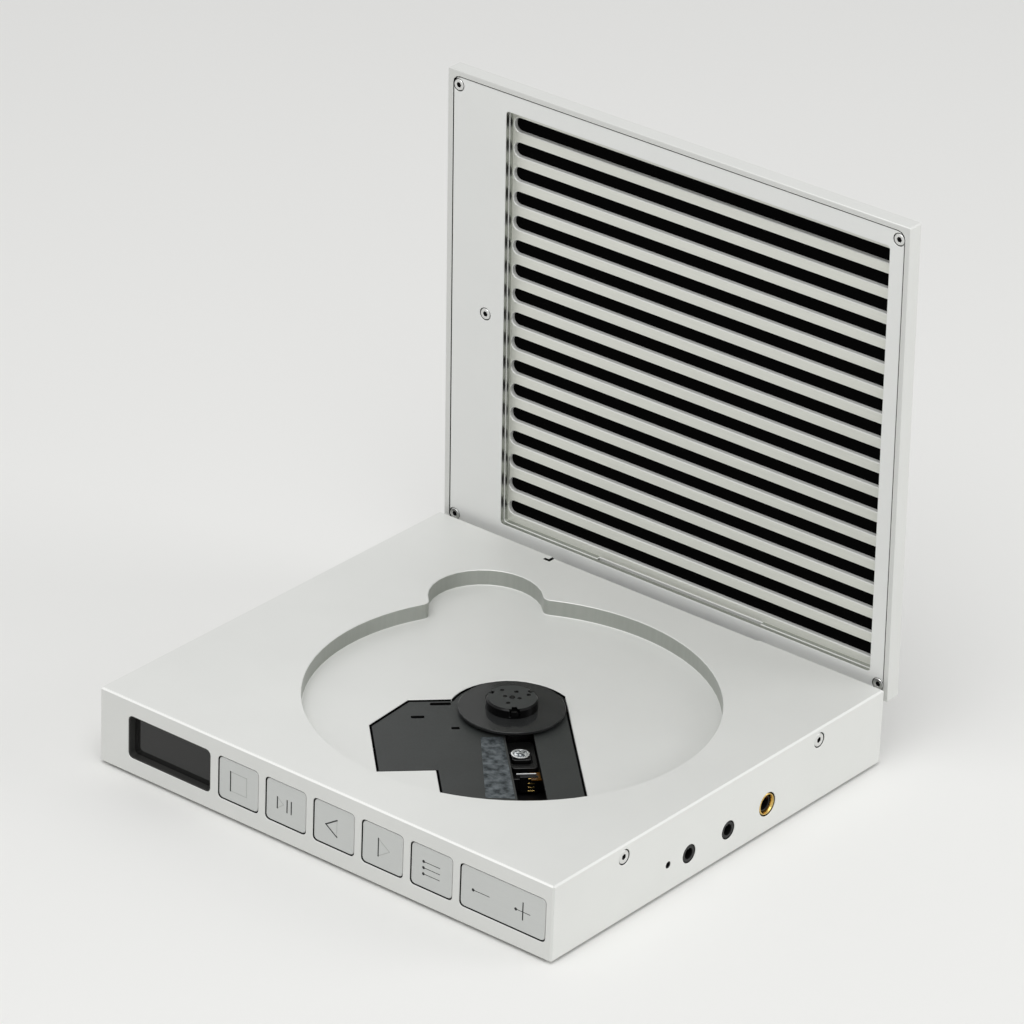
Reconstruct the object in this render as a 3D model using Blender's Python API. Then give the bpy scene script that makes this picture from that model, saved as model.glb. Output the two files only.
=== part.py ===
"""Portable disc player with a slotted hinged lid.

Metres, +Z up. The player stands on its rubber feet at z = 0, with the middle of its
whole box, lid open, over the origin. The front with the display and keys faces -Y.
"""
import math

import bmesh
import bpy
from mathutils import Matrix, Vector

# Case: one milled block with the deck, the disc well and four walls
CASE_WIDTH = 0.1710
CASE_DEPTH = 0.1558
CASE_HEIGHT = 0.02435
CASE_WALL = 0.0020
CASE_CHAMFER = 0.0005
REAR_CHAMFER = 0.0009
DECK_THICKNESS = 0.0015

# Disc well in the deck, with a finger notch at its back left
DISC_RADIUS = 0.060
DISC_EDGE_ROOM = 0.0020
WELL_OFFSET_X = 0.0069
WELL_DEPTH = 0.0052
WELL_FLOOR = 0.0012
WELL_WALL = 0.0015
NOTCH_RADIUS = 0.0175
NOTCH_DISTANCE = 0.0626
NOTCH_ANGLE = math.radians(136.6)
NOTCH_FILLET = 0.0025

# General fits
SEAT_GAP = 0.0003
SLIDE_GAP = 0.0003
RUNNING_GAP = 0.00025
OVERRUN = 0.0010
FUSE_DEPTH = 0.0002

# Bottom cover, its screw lugs and the feet
COVER_THICKNESS = 0.0016
LUG_THICKNESS = 0.0034
LUG_WIDTH = 0.0090
FOOT_HEIGHT = 0.0010
FOOT_RADIUS = 0.0050
FOOT_RECESS = 0.0006
FOOT_INSET = 0.0130

# Side screws, sunk in round counterbores
SIDE_SCREW_SPAN = 0.0920
SIDE_SCREW_DROP = 0.0041
SIDE_HEAD_RADIUS = 0.00215
SIDE_HEAD_THICKNESS = 0.0008
SIDE_SHANK_RADIUS = 0.0010
SIDE_SHANK_LENGTH = 0.0042
SIDE_BORE_DEPTH = 0.0013
SOCKET_RADIUS = 0.0008
SOCKET_DEPTH = 0.0005

# Lid: slotted outer shell with an inner plate let into its face
LID_THICKNESS = 0.0055
LID_GAP = 0.00035
LID_SETBACK = 0.00015
LID_CHAMFER = 0.0004
LID_OPEN_ANGLE = math.radians(88.2)
PLATE_RIM = 0.0019
PLATE_SUNK = 0.0002
PLATE_THICKNESS = 0.0015
PLATE_CORNER = 0.0025
WINDOW_LEFT_MARGIN = 0.0225
WINDOW_RIGHT_MARGIN = 0.0071
WINDOW_END_MARGIN = 0.0079
WINDOW_DEPTH = 0.0034
WINDOW_CORNER = 0.0010
SLOT_COUNT = 17
SLOT_PITCH = 0.0081
SLOT_HEIGHT = 0.0047
SLOT_END_INSET = 0.0004
LID_SCREW_INSET_X = 0.0040
LID_SCREW_INSET_END = 0.0048
LID_MIDDLE_SCREW_INSET = 0.0153
LID_HEAD_RADIUS = 0.0018
LID_HEAD_THICKNESS = 0.0006
LID_SHANK_RADIUS = 0.0009
LID_SHANK_LENGTH = 0.0026
LID_BORE_DEPTH = 0.0009

# Magnets that hold the lid shut
MAGNET_RADIUS = 0.0023
MAGNET_LENGTH = 0.0018
MAGNET_SPAN = 0.0500
MAGNET_INSET = 0.0052

# Lid hinge: two leaves on one pin, under the deck's rear edge
HINGE_INSET = 0.00205
HINGE_DROP = 0.00345
HINGE_WIDTH = 0.0780
BARREL_RADIUS = 0.0016
PIN_RADIUS = 0.0007
LEAF_THICKNESS = 0.0008
LEAF_STANDOFF = 0.0011
KNUCKLE_COUNT = 5
KNUCKLE_GAP = 0.0003
CASE_LEAF_REACH = 0.0080
LID_LEAF_REACH = 0.0062
POCKET_DEPTH = 0.0012
SLIT_START = 0.0128
SLIT_LENGTH = 0.0625
RELIEF_WIDTH = 0.0006
RELIEF_DEPTH = 0.0031
RELIEF_HOOK = 0.0020

# Front row: display window, five keys and a double-width rocker
ROW_TOP_MARGIN = 0.00520
ROW_BOTTOM_MARGIN = 0.00515
WINDOW_SIDE_MARGIN = 0.0112
WINDOW_OPENING_WIDTH = 0.0321
WINDOW_OPENING_CORNER = 0.0016
WINDOW_TO_KEY = 0.0030
KEY_COUNT = 5
KEY_GAP = 0.0026
ROCKER_SIDE_MARGIN = 0.0025
KEY_CORNER = 0.0014
KEY_RECESS = 0.0003
KEY_FLANGE = 0.0008
KEY_FLANGE_THICKNESS = 0.0008
KEY_PLUNGER_RADIUS = 0.0015
KEY_PLUNGER_LENGTH = 0.0012
KEY_TRAVEL = 0.0005
KEY_STOP_GAP = 0.0001
ROCKER_FLANGE_SHARE = 0.45
BEZEL_RING = 0.0006
BEZEL_FLANGE = 0.0011
BEZEL_FLANGE_THICKNESS = 0.0008
LENS_RECESS = 0.0027
LENS_THICKNESS = 0.0006
LCD_MARGIN = 0.0009
BOARD_SETBACK = 0.0080
BOARD_THICKNESS = 0.0010
BOARD_MARGIN = 0.0015
BOARD_END_MARGIN = 0.0050
SWITCH_SIDE = 0.0045
SWITCH_CAP_RADIUS = 0.0010
SWITCH_CAP_HEIGHT = 0.0005

# Sockets: three jacks and a pinhole on the right, one supply socket on the left
BALANCED_JACK_Y = 0.0217
BALANCED_JACK_HEIGHT = 0.0089
BALANCED_HOLE_RADIUS = 0.0038
BALANCED_SLEEVE_WALL = 0.0006
BALANCED_BORE_RADIUS = 0.0022
BALANCED_BODY_SIDE = 0.0090
JACK_BODY_LENGTH = 0.0130
PHONE_JACK_Y = 0.0031
PHONE_JACK_PITCH = 0.0184
PHONE_JACK_HEIGHT = 0.0082
PHONE_HOLE_RADIUS = 0.00295
PHONE_BORE_RADIUS = 0.00175
PHONE_BODY_SIDE = 0.0064
JACK_FACE_RECESS = 0.0002
JACK_BORE_DEPTH = 0.0110
SLEEVE_LENGTH = 0.0030
PINHOLE_Y = -0.0251
PINHOLE_HEIGHT = 0.0087
PINHOLE_RADIUS = 0.0011
SUPPLY_WIDTH = 0.0090
SUPPLY_HEIGHT = 0.0033
SUPPLY_WALL = 0.0005
SUPPLY_LENGTH = 0.0075
SUPPLY_TONGUE = 0.0007

# Main board, battery and supply board places
MAIN_BOARD_THICKNESS = 0.0012
MAIN_BOARD_STANDOFF = 0.0020
MAIN_BOARD_WIDTH = 0.0260
MAIN_BOARD_FRONT_Y = -0.0205
MAIN_BOARD_BACK_Y = 0.0390
POST_RADIUS = 0.0028
CHIP_HEIGHT = 0.0012
CHIP_SIDE = 0.0100
CHIP_INSET = 0.0012
CHIP_SHARES = (0.08, 0.40, 0.72)
BATTERY_WIDTH = 0.0460
BATTERY_LENGTH = 0.0960
BATTERY_HEIGHT = 0.0070
BATTERY_CORNER = 0.0030
BATTERY_GAP_TO_WALL = 0.0110

# Drive unit, turned to point at the case's front right corner
DRIVE_TURN = math.radians(-45)
CHASSIS_THICKNESS = 0.0016
CHASSIS_START = -0.0150
CHASSIS_END = 0.0730
CHASSIS_HALF = 0.0200
WING_START = -0.0085
WING_END = 0.0395
WING_SIDE = -0.0410
WING_SHOULDER = -0.0290
WING_SLANT_END = 0.0050
COVER_SUNK = 0.0004
COVER_PLATE = 0.0008
COVER_CLEARANCE = 0.0007
HATCH_ROUND_RADIUS = 0.0189
HATCH_OUTER_MARGIN = 0.0006
HATCH_TOP = -0.0083
HATCH_RIGHT = 0.0168
HATCH_LEFT = -0.0426
HATCH_LEFT_START = 0.0064
HATCH_SHOULDER = -0.0299
HATCH_STEP_END = 0.0342
HATCH_STEP_SIDE = -0.0254
PICKUP_SLOT_LOW = -0.0034
PICKUP_SLOT_HIGH = 0.0050
PICKUP_SLOT_START = 0.0126
SPINDLE_HOLE_RADIUS = 0.0035
VENT_HEIGHT = 0.0009
VENT_SHARES = ((-0.139, -0.484, 0.139), (0.045, -0.655, 0.080), (0.209, -0.408, 0.052))
CHASSIS_POST_RADIUS = 0.0015
COVER_POST_SHARES = ((-0.117, -0.622), (0.258, -0.868), (0.681, -0.880), (-0.164, 0.317))
DAMPER_INSET = 0.0040
DAMPER_RADIUS = 0.0032
DAMPER_HEIGHT = 0.0024
SPIGOT_RADIUS = 0.0012

# Spindle: motor, turntable, hub and the three claws that grip the disc
MOTOR_RADIUS = 0.0108
MOTOR_HEIGHT = 0.0062
SHAFT_RADIUS = 0.0010
SHAFT_ENGAGEMENT = 0.0042
TABLE_RADIUS = 0.01595
TABLE_THICKNESS = 0.0009
TABLE_DROP = 0.0036
HUB_RADIUS = 0.0077
HUB_HEIGHT = 0.0030
HUB_CHAMFER = 0.0005
HUB_HOLE_RADIUS = 0.0005
HUB_HOLE_CIRCLE = 0.0040
HUB_HOLE_DEPTH = 0.0008
HUB_HOLE_COUNT = 6
HUB_TIP_RADIUS = 0.0009
HUB_TIP_HEIGHT = 0.0003
CLAW_COUNT = 3
CLAW_WIDTH = 0.0024
CLAW_HEIGHT = 0.0014
CLAW_INNER = 0.0051
CLAW_PROUD = 0.0003
CLAW_TRAVEL = 0.00045
CLAW_BASE = 0.0006

# Pickup: sled on two rods, lens holder and lens
LENS_REST_RADIUS = 0.0250
SLED_INWARD = 0.0020
SLED_OUTWARD = 0.0330
ROD_RADIUS = 0.0010
ROD_SPREAD = 0.0145
ROD_BELOW_SLED_TOP = 0.0020
SLED_STOP_GAP = 0.0010
ROD_POST_LENGTH = 0.0030
ROD_POST_WIDTH = 0.0040
ROD_POST_COVER = 0.0023
SLED_BACK = 0.0105
SLED_FRONT = 0.0090
SLED_HALF = 0.0112
SLED_THICKNESS = 0.0039
SLED_TO_CHASSIS = 0.0014
BUSH_LENGTH = 0.0160
BUSH_HALF = 0.0026
HOUSING_BACK = 0.0096
HOUSING_FRONT = 0.0060
HOUSING_HEIGHT = 0.00185
HOUSING_TO_COVER = 0.0006
HOUSING_CORNER = 0.0012
HOLDER_SIDE = 0.0060
HOLDER_CORNER = 0.0010
HOLDER_SUNK = 0.00035
HOLDER_THICKNESS = 0.0018
HOLDER_CLEARANCE = 0.00045
FOCUS_TRAVEL = 0.0004
LENS_RADIUS = 0.0027
LENS_EDGE = 0.0002
LENS_SHOULDER = 0.0005
LENS_DOME = 0.0006
FLEX_WIDTH = 0.0030
FLEX_LENGTH = 0.0060
FLEX_THICKNESS = 0.0003
FLEX_RISE = 0.0009
FLEX_SIDE = 0.0036

# Sled drive: rack on the sled, compound gear, pinion on the sled motor
RACK_MODULE = 0.0008
RACK_TEETH = 16
GEAR_TEETH = 12
WHEEL_MODULE = 0.0005
WHEEL_TEETH = 28
PINION_TEETH = 10
RACK_LINE = -0.0210
RACK_THICKNESS = 0.0020
RACK_TO_WHEEL = 0.0010
GEAR_PLACE = 0.0340
WHEEL_TO_CHASSIS = 0.0004
WHEEL_THICKNESS = 0.0014
GEAR_PROUD = 0.0002
GEAR_AXLE_RADIUS = 0.0010
PINION_ANGLE = math.radians(225)
SLED_MOTOR_RADIUS = 0.0058
SLED_MOTOR_TO_COVER = 0.0011
SLED_SHAFT_RADIUS = 0.0008
SLED_SHAFT_SHARE = 0.54
TOOTH_TIP_SHARE = 0.65
TOOTH_ROOT_SHARE = 1.0
TOOTH_WIDTH_SHARE = 0.38
TOOTH_TOP_SHARE = 0.22

# Facets on the round pieces
BIG_STEPS = 72
ROUND_STEPS = 32
SMALL_STEPS = 16
TINY_STEPS = 12
CORNER_STEPS = 3
FILLET_STEPS = 4

# Sizes that follow from the ones above
HALF_WIDTH = CASE_WIDTH / 2
HALF_DEPTH = CASE_DEPTH / 2
WELL_RADIUS = DISC_RADIUS + DISC_EDGE_ROOM
FLOOR_TOP = CASE_HEIGHT - WELL_DEPTH
FLOOR_BOTTOM = FLOOR_TOP - WELL_FLOOR
DECK_BOTTOM = CASE_HEIGHT - DECK_THICKNESS
HINGE_Y = HALF_DEPTH - HINGE_INSET
HINGE_Z = CASE_HEIGHT - HINGE_DROP
LID_FACE = HINGE_DROP + LID_GAP
LID_BACK = HINGE_INSET - LID_SETBACK
LID_LENGTH = CASE_DEPTH - 2 * LID_SETBACK
LID_FRONT = LID_BACK - LID_LENGTH
LID_REACH = LID_BACK * math.cos(LID_OPEN_ANGLE) + (LID_FACE + LID_THICKNESS) * math.sin(LID_OPEN_ANGLE)
BOX_MIDDLE_Y = (HINGE_Y + LID_REACH - HALF_DEPTH) / 2
SIDE_SCREW_Z = CASE_HEIGHT - SIDE_SCREW_DROP
KEY_OPENING_HEIGHT = CASE_HEIGHT - ROW_TOP_MARGIN - ROW_BOTTOM_MARGIN
ROW_HEIGHT = ROW_BOTTOM_MARGIN + KEY_OPENING_HEIGHT / 2
BOARD_HEIGHT = KEY_OPENING_HEIGHT + 2 * BOARD_MARGIN
WINDOW_OPENING_LEFT = -HALF_WIDTH + WINDOW_SIDE_MARGIN
KEYS_LEFT = WINDOW_OPENING_LEFT + WINDOW_OPENING_WIDTH + WINDOW_TO_KEY
KEYS_RIGHT = HALF_WIDTH - ROCKER_SIDE_MARGIN
KEY_OPENING_WIDTH = (KEYS_RIGHT - KEYS_LEFT - KEY_COUNT * KEY_GAP) / (KEY_COUNT + 2)
KEY_PITCH = KEY_OPENING_WIDTH + KEY_GAP
TABLE_TOP = CASE_HEIGHT - TABLE_DROP
ROD_START = LENS_REST_RADIUS - SLED_INWARD - SLED_BACK - SLED_STOP_GAP - ROD_POST_LENGTH
ROD_END = LENS_REST_RADIUS + SLED_OUTWARD + SLED_FRONT + SLED_STOP_GAP + ROD_POST_LENGTH
COVER_TOP = FLOOR_TOP - COVER_SUNK
COVER_BOTTOM = COVER_TOP - COVER_PLATE
HOUSING_TOP = COVER_BOTTOM - HOUSING_TO_COVER
SLED_TOP = HOUSING_TOP - HOUSING_HEIGHT
SLED_BOTTOM = SLED_TOP - SLED_THICKNESS
HOLDER_TOP = COVER_TOP - HOLDER_SUNK
HOLDER_BOTTOM = HOLDER_TOP - HOLDER_THICKNESS
ROD_HEIGHT = SLED_TOP - ROD_BELOW_SLED_TOP
CHASSIS_TOP = SLED_BOTTOM - SLED_TO_CHASSIS
CHASSIS_BOTTOM = CHASSIS_TOP - CHASSIS_THICKNESS
WHEEL_BOTTOM = CHASSIS_TOP + WHEEL_TO_CHASSIS
WHEEL_TOP = WHEEL_BOTTOM + WHEEL_THICKNESS
RACK_BOTTOM = WHEEL_TOP + RACK_TO_WHEEL
RACK_TOP = RACK_BOTTOM + RACK_THICKNESS
GEAR_TOP = RACK_TOP + GEAR_PROUD
MOTOR_BOTTOM = CHASSIS_TOP + SEAT_GAP
GEAR_RADIUS = RACK_MODULE * GEAR_TEETH / 2
WHEEL_RADIUS = WHEEL_MODULE * WHEEL_TEETH / 2
PINION_RADIUS = WHEEL_MODULE * PINION_TEETH / 2
GEAR_SIDE = RACK_LINE - GEAR_RADIUS
PINION_REACH = WHEEL_RADIUS + PINION_RADIUS
PINION_PLACE = GEAR_PLACE + PINION_REACH * math.cos(PINION_ANGLE)
PINION_SIDE = GEAR_SIDE + PINION_REACH * math.sin(PINION_ANGLE)


def linear(channel):
    """One sRGB channel, 0 to 1, as a linear value."""
    if channel <= 0.04045:
        return channel / 12.92
    return ((channel + 0.055) / 1.055) ** 2.4


def material(name, hex_code, roughness, metallic):
    """A plain Principled material in the colour that the piece has."""
    made = bpy.data.materials.new(name)
    made.use_nodes = True
    shader = made.node_tree.nodes["Principled BSDF"]
    channels = [linear(int(hex_code[i:i + 2], 16) / 255) for i in (0, 2, 4)]
    shader.inputs["Base Color"].default_value = (*channels, 1)
    shader.inputs["Roughness"].default_value = roughness
    shader.inputs["Metallic"].default_value = metallic
    return made


def clear_scene():
    """Start from an empty scene."""
    for item in list(bpy.data.objects):
        bpy.data.objects.remove(item, do_unlink=True)


def link(item, parent, location=(0, 0, 0), turn=0, axis="Z"):
    """Put an object in the scene under its parent."""
    bpy.context.scene.collection.objects.link(item)
    item.parent = parent
    item.location = location
    if turn:
        item.rotation_euler = Matrix.Rotation(turn, 4, axis).to_euler()
    return item


def empty(name, parent, location=(0, 0, 0), turn=0, axis="Z"):
    """A guide that carries pieces, such as a joint's axis."""
    return link(bpy.data.objects.new(name, None), parent, location, turn, axis)


def mesh_from(name, shape):
    """A mesh with smooth round faces and crisp edges."""
    bmesh.ops.recalc_face_normals(shape, faces=shape.faces)
    mesh = bpy.data.meshes.new(name)
    shape.to_mesh(mesh)
    shape.free()
    mesh.shade_smooth()
    mesh.set_sharp_from_angle(angle=math.radians(30))
    return mesh


def piece(name, shape, finish, parent, location=(0, 0, 0), turn=0, axis="Z"):
    """One real piece of the player."""
    mesh = mesh_from(name, shape)
    mesh.materials.append(finish)
    return link(bpy.data.objects.new(name, mesh), parent, location, turn, axis)


def modify(target, shape, operation):
    """Cut a shape out of a piece, or fuse it on, in the piece's own frame."""
    label = f"{target.name}_{operation.lower()}_{len(target.modifiers)}"
    tool = bpy.data.objects.new(label, mesh_from(label, shape))
    link(tool, target)
    tool.hide_render = True
    tool.display_type = "WIRE"
    step = target.modifiers.new(label, "BOOLEAN")
    step.object = tool
    step.operation = operation
    step.solver = "EXACT"


def cut(target, *shapes):
    """Cut shapes out of a piece."""
    for shape in shapes:
        modify(target, shape, "DIFFERENCE")


def fuse(target, *shapes):
    """Fuse shapes onto a piece."""
    for shape in shapes:
        modify(target, shape, "UNION")


def spot(axis, a, b, c):
    """A point from two outline values and one value along the axis."""
    if axis == "X":
        return (c, a, b)
    if axis == "Y":
        return (a, c, b)
    return (a, b, c)


def prism(outline, low, high, axis="Z"):
    """An outline pushed along an axis: (x, y) along Z, (x, z) along Y, (y, z) along X."""
    shape = bmesh.new()
    lower = [shape.verts.new(spot(axis, a, b, low)) for a, b in outline]
    upper = [shape.verts.new(spot(axis, a, b, high)) for a, b in outline]
    shape.faces.new(lower)
    shape.faces.new(upper)
    for i in range(len(outline)):
        j = (i + 1) % len(outline)
        shape.faces.new((lower[i], lower[j], upper[j], upper[i]))
    return shape


def block(x, y, z):
    """A box from three (low, high) pairs."""
    return prism([(x[0], y[0]), (x[1], y[0]), (x[1], y[1]), (x[0], y[1])], z[0], z[1])


def arc(centre, radius, start, end, steps):
    """Points on an arc, both ends among them."""
    angles = [start + (end - start) * i / steps for i in range(steps + 1)]
    return [(centre[0] + radius * math.cos(a), centre[1] + radius * math.sin(a)) for a in angles]


def ring(centre, radius, steps):
    """Points round a whole circle."""
    return arc(centre, radius, 0, math.tau * (steps - 1) / steps, steps - 1)


def rod(centre, radius, low, high, steps=SMALL_STEPS, axis="Z"):
    """A round bar along an axis."""
    return prism(ring(centre, radius, steps), low, high, axis)


def rounded(a, b, corner):
    """A rectangle with round corners, from two (low, high) pairs."""
    points = []
    quarters = ((a[1], b[0], -1, 1, -90), (a[1], b[1], -1, -1, 0),
                (a[0], b[1], 1, -1, 90), (a[0], b[0], 1, 1, 180))
    for x, y, side_x, side_y, start in quarters:
        middle = (x + side_x * corner, y + side_y * corner)
        points += arc(middle, corner, math.radians(start), math.radians(start + 90), CORNER_STEPS)
    return points


def turned(profile, steps):
    """A profile of (radius, height) turned about Z, closed at its ends on the axis."""
    shape = bmesh.new()
    loops = []
    for radius, height in profile:
        if radius:
            loops.append([shape.verts.new((x, y, height)) for x, y in ring((0, 0), radius, steps)])
        else:
            loops.append([shape.verts.new((0, 0, height))])
    for low, high in zip(loops, loops[1:]):
        for i in range(steps):
            j = (i + 1) % steps
            corners = [low[i % len(low)], low[j % len(low)], high[j % len(high)], high[i % len(high)]]
            shape.faces.new(list(dict.fromkeys(corners)))
    return shape


def tube(inner, outer, low, high, steps):
    """A straight tube along Z."""
    corners = [(inner, low), (outer, low), (outer, high), (inner, high), (inner, low)]
    shape = turned(corners, steps)
    bmesh.ops.remove_doubles(shape, verts=shape.verts, dist=FUSE_DEPTH / 100)
    return shape


def chamfered(x, y, z, width):
    """A box whose upright and top edges are chamfered."""
    shape = block(x, y, z)
    middle = (z[0] + z[1]) / 2
    chosen = [edge for edge in shape.edges if max(vert.co.z for vert in edge.verts) > middle]
    bmesh.ops.bevel(shape, geom=chosen, offset=width, offset_type="OFFSET", segments=1, affect="EDGES")
    return shape


def gear_outline(centre, teeth, module, phase):
    """A gear's outline with one tooth centred on the phase angle."""
    radius = module * teeth / 2
    tip = radius + TOOTH_TIP_SHARE * module
    root = radius - TOOTH_ROOT_SHARE * module
    step = math.tau / teeth
    wide = step * TOOTH_WIDTH_SHARE
    narrow = step * TOOTH_TOP_SHARE
    points = []
    for i in range(teeth):
        middle = phase + step * i
        for reach, offset in ((root, -wide / 2), (tip, -narrow / 2), (tip, narrow / 2), (root, wide / 2)):
            angle = middle + offset
            points.append((centre[0] + reach * math.cos(angle), centre[1] + reach * math.sin(angle)))
    return points


def well_outline(grow):
    """The disc well and its finger notch, joined by fillets and grown by an amount."""
    notch = Vector((math.cos(NOTCH_ANGLE), math.sin(NOTCH_ANGLE))) * NOTCH_DISTANCE
    far = WELL_RADIUS + NOTCH_FILLET
    near = NOTCH_RADIUS + NOTCH_FILLET
    half_turn = math.acos((far ** 2 + NOTCH_DISTANCE ** 2 - near ** 2) / (2 * far * NOTCH_DISTANCE))
    centre = Vector((WELL_OFFSET_X, 0))
    fillet = NOTCH_FILLET - grow
    before, after = (centre + Vector((math.cos(a), math.sin(a))) * far
                     for a in (NOTCH_ANGLE - half_turn, NOTCH_ANGLE + half_turn))

    def bearing(a, b):
        return math.atan2(b.y - a.y, b.x - a.x)

    notch_spot = centre + notch
    rim = (NOTCH_ANGLE + half_turn, NOTCH_ANGLE - half_turn + math.tau)
    points = arc(centre, WELL_RADIUS + grow, *rim, BIG_STEPS)
    start = bearing(before, centre)
    end = bearing(before, notch_spot)
    points += arc(before, fillet, start, start + (end - start) % -math.tau, FILLET_STEPS)[1:]
    start = bearing(notch_spot, before)
    end = bearing(notch_spot, after)
    points += arc(notch_spot, NOTCH_RADIUS + grow, start, start + (end - start) % math.tau, SMALL_STEPS)[1:]
    start = bearing(after, notch_spot)
    end = bearing(after, centre)
    points += arc(after, fillet, start, start + (end - start) % -math.tau, FILLET_STEPS)[1:-1]
    return points


def hatch_outline(shrink):
    """The opening in the well's floor, in the drive unit's frame, shrunk by an amount."""
    outer = WELL_RADIUS - HATCH_OUTER_MARGIN - shrink
    round_radius = HATCH_ROUND_RADIUS - shrink
    top = HATCH_TOP + shrink
    right = HATCH_RIGHT - shrink
    left = HATCH_LEFT + shrink
    step_end = HATCH_STEP_END - shrink
    step_side = HATCH_STEP_SIDE + shrink
    slant = shrink * math.tan(math.radians(22.5))
    join = math.atan2(-math.sqrt(round_radius ** 2 - top ** 2), top) % math.tau
    leave = math.pi - math.asin(right / round_radius)
    points = [(HATCH_LEFT_START + slant, left), (top, HATCH_SHOULDER + slant)]
    points += reversed(arc((0, 0), round_radius, leave, join, SMALL_STEPS))
    reach_right = math.asin(right / outer)
    reach_left = math.asin(step_side / outer)
    points += arc((0, 0), outer, reach_right, reach_left, SMALL_STEPS)
    points += [(step_end, step_side), (step_end, left)]
    return points


def key_centres():
    """The middle of each single key along the front."""
    return [KEYS_LEFT + KEY_OPENING_WIDTH / 2 + KEY_PITCH * i for i in range(KEY_COUNT)]


def rocker_middle():
    """The middle of the rocker, which is two keys wide."""
    return KEYS_RIGHT - KEY_OPENING_WIDTH


def key_outline(middle, width, shrink):
    """A key's or its opening's outline on the front."""
    half = width / 2 - shrink
    tall = KEY_OPENING_HEIGHT / 2 - shrink
    return rounded((middle - half, middle + half), (ROW_HEIGHT - tall, ROW_HEIGHT + tall), KEY_CORNER)


def window_outline(shrink):
    """The display window's outline on the front."""
    left = WINDOW_OPENING_LEFT + shrink
    right = WINDOW_OPENING_LEFT + WINDOW_OPENING_WIDTH - shrink
    tall = KEY_OPENING_HEIGHT / 2 - shrink
    return rounded((left, right), (ROW_HEIGHT - tall, ROW_HEIGHT + tall), WINDOW_OPENING_CORNER)


def side_screw_places():
    """(side, y) of the four side screws."""
    return [(side, along * SIDE_SCREW_SPAN / 2) for side in (1, -1) for along in (1, -1)]


def hinge_zone():
    """The hinge's low and high ends along X."""
    return (-HINGE_WIDTH / 2, HINGE_WIDTH / 2)


def build_case(frame, metal):
    """The milled case: deck, disc well, walls and every hole in them."""
    body = chamfered((-HALF_WIDTH, HALF_WIDTH), (-HALF_DEPTH, HALF_DEPTH), (0, CASE_HEIGHT), CASE_CHAMFER)
    case = piece("upper_case", body, metal, frame)
    inner_x = HALF_WIDTH - CASE_WALL
    inner_y = HALF_DEPTH - CASE_WALL
    cut(case, block((-inner_x, inner_x), (-inner_y, inner_y), (-OVERRUN, DECK_BOTTOM)))
    fuse(case, prism(well_outline(WELL_WALL), FLOOR_BOTTOM, DECK_BOTTOM + FUSE_DEPTH))
    cut(case, prism(well_outline(0), FLOOR_TOP, CASE_HEIGHT + OVERRUN))
    hatch = prism(hatch_outline(0), FLOOR_BOTTOM - OVERRUN, FLOOR_TOP + OVERRUN)
    place = Matrix.Translation((WELL_OFFSET_X, 0, 0)) @ Matrix.Rotation(DRIVE_TURN, 4, "Z")
    bmesh.ops.transform(hatch, matrix=place, verts=hatch.verts)
    cut(case, hatch)
    cut_front(case)
    cut_sides(case)
    cut_hinge_room(case)
    return case


def cut_front(case):
    """Openings in the front wall for the display and the keys."""
    front = (-HALF_DEPTH - OVERRUN, -HALF_DEPTH + CASE_WALL + OVERRUN)
    cut(case, prism(window_outline(0), *front, "Y"))
    for middle in key_centres():
        cut(case, prism(key_outline(middle, KEY_OPENING_WIDTH, 0), *front, "Y"))
    cut(case, prism(key_outline(rocker_middle(), 2 * KEY_OPENING_WIDTH, 0), *front, "Y"))


def cut_sides(case):
    """Jack holes, the pinhole, the supply opening and the screw holes."""
    right = (HALF_WIDTH - CASE_WALL - OVERRUN, HALF_WIDTH + OVERRUN)
    left = (-HALF_WIDTH - OVERRUN, -HALF_WIDTH + CASE_WALL + OVERRUN)
    cut(case, rod((BALANCED_JACK_Y, BALANCED_JACK_HEIGHT), BALANCED_HOLE_RADIUS, *right, ROUND_STEPS, "X"))
    for y in phone_jack_places():
        cut(case, rod((y, PHONE_JACK_HEIGHT), PHONE_HOLE_RADIUS, *right, ROUND_STEPS, "X"))
    cut(case, rod((PINHOLE_Y, PINHOLE_HEIGHT), PINHOLE_RADIUS, *right, SMALL_STEPS, "X"))
    cut(case, prism(supply_outline(SLIDE_GAP), *left, "X"))
    for side, y in side_screw_places():
        bore = sorted((side * (HALF_WIDTH - SIDE_BORE_DEPTH), side * (HALF_WIDTH + OVERRUN)))
        hole = sorted((side * (HALF_WIDTH - CASE_WALL - OVERRUN), side * HALF_WIDTH))
        cut(case, rod((y, SIDE_SCREW_Z), SIDE_HEAD_RADIUS + SLIDE_GAP, *bore, SMALL_STEPS, "X"))
        cut(case, rod((y, SIDE_SCREW_Z), SIDE_SHANK_RADIUS + SLIDE_GAP, *hole, SMALL_STEPS, "X"))


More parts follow.
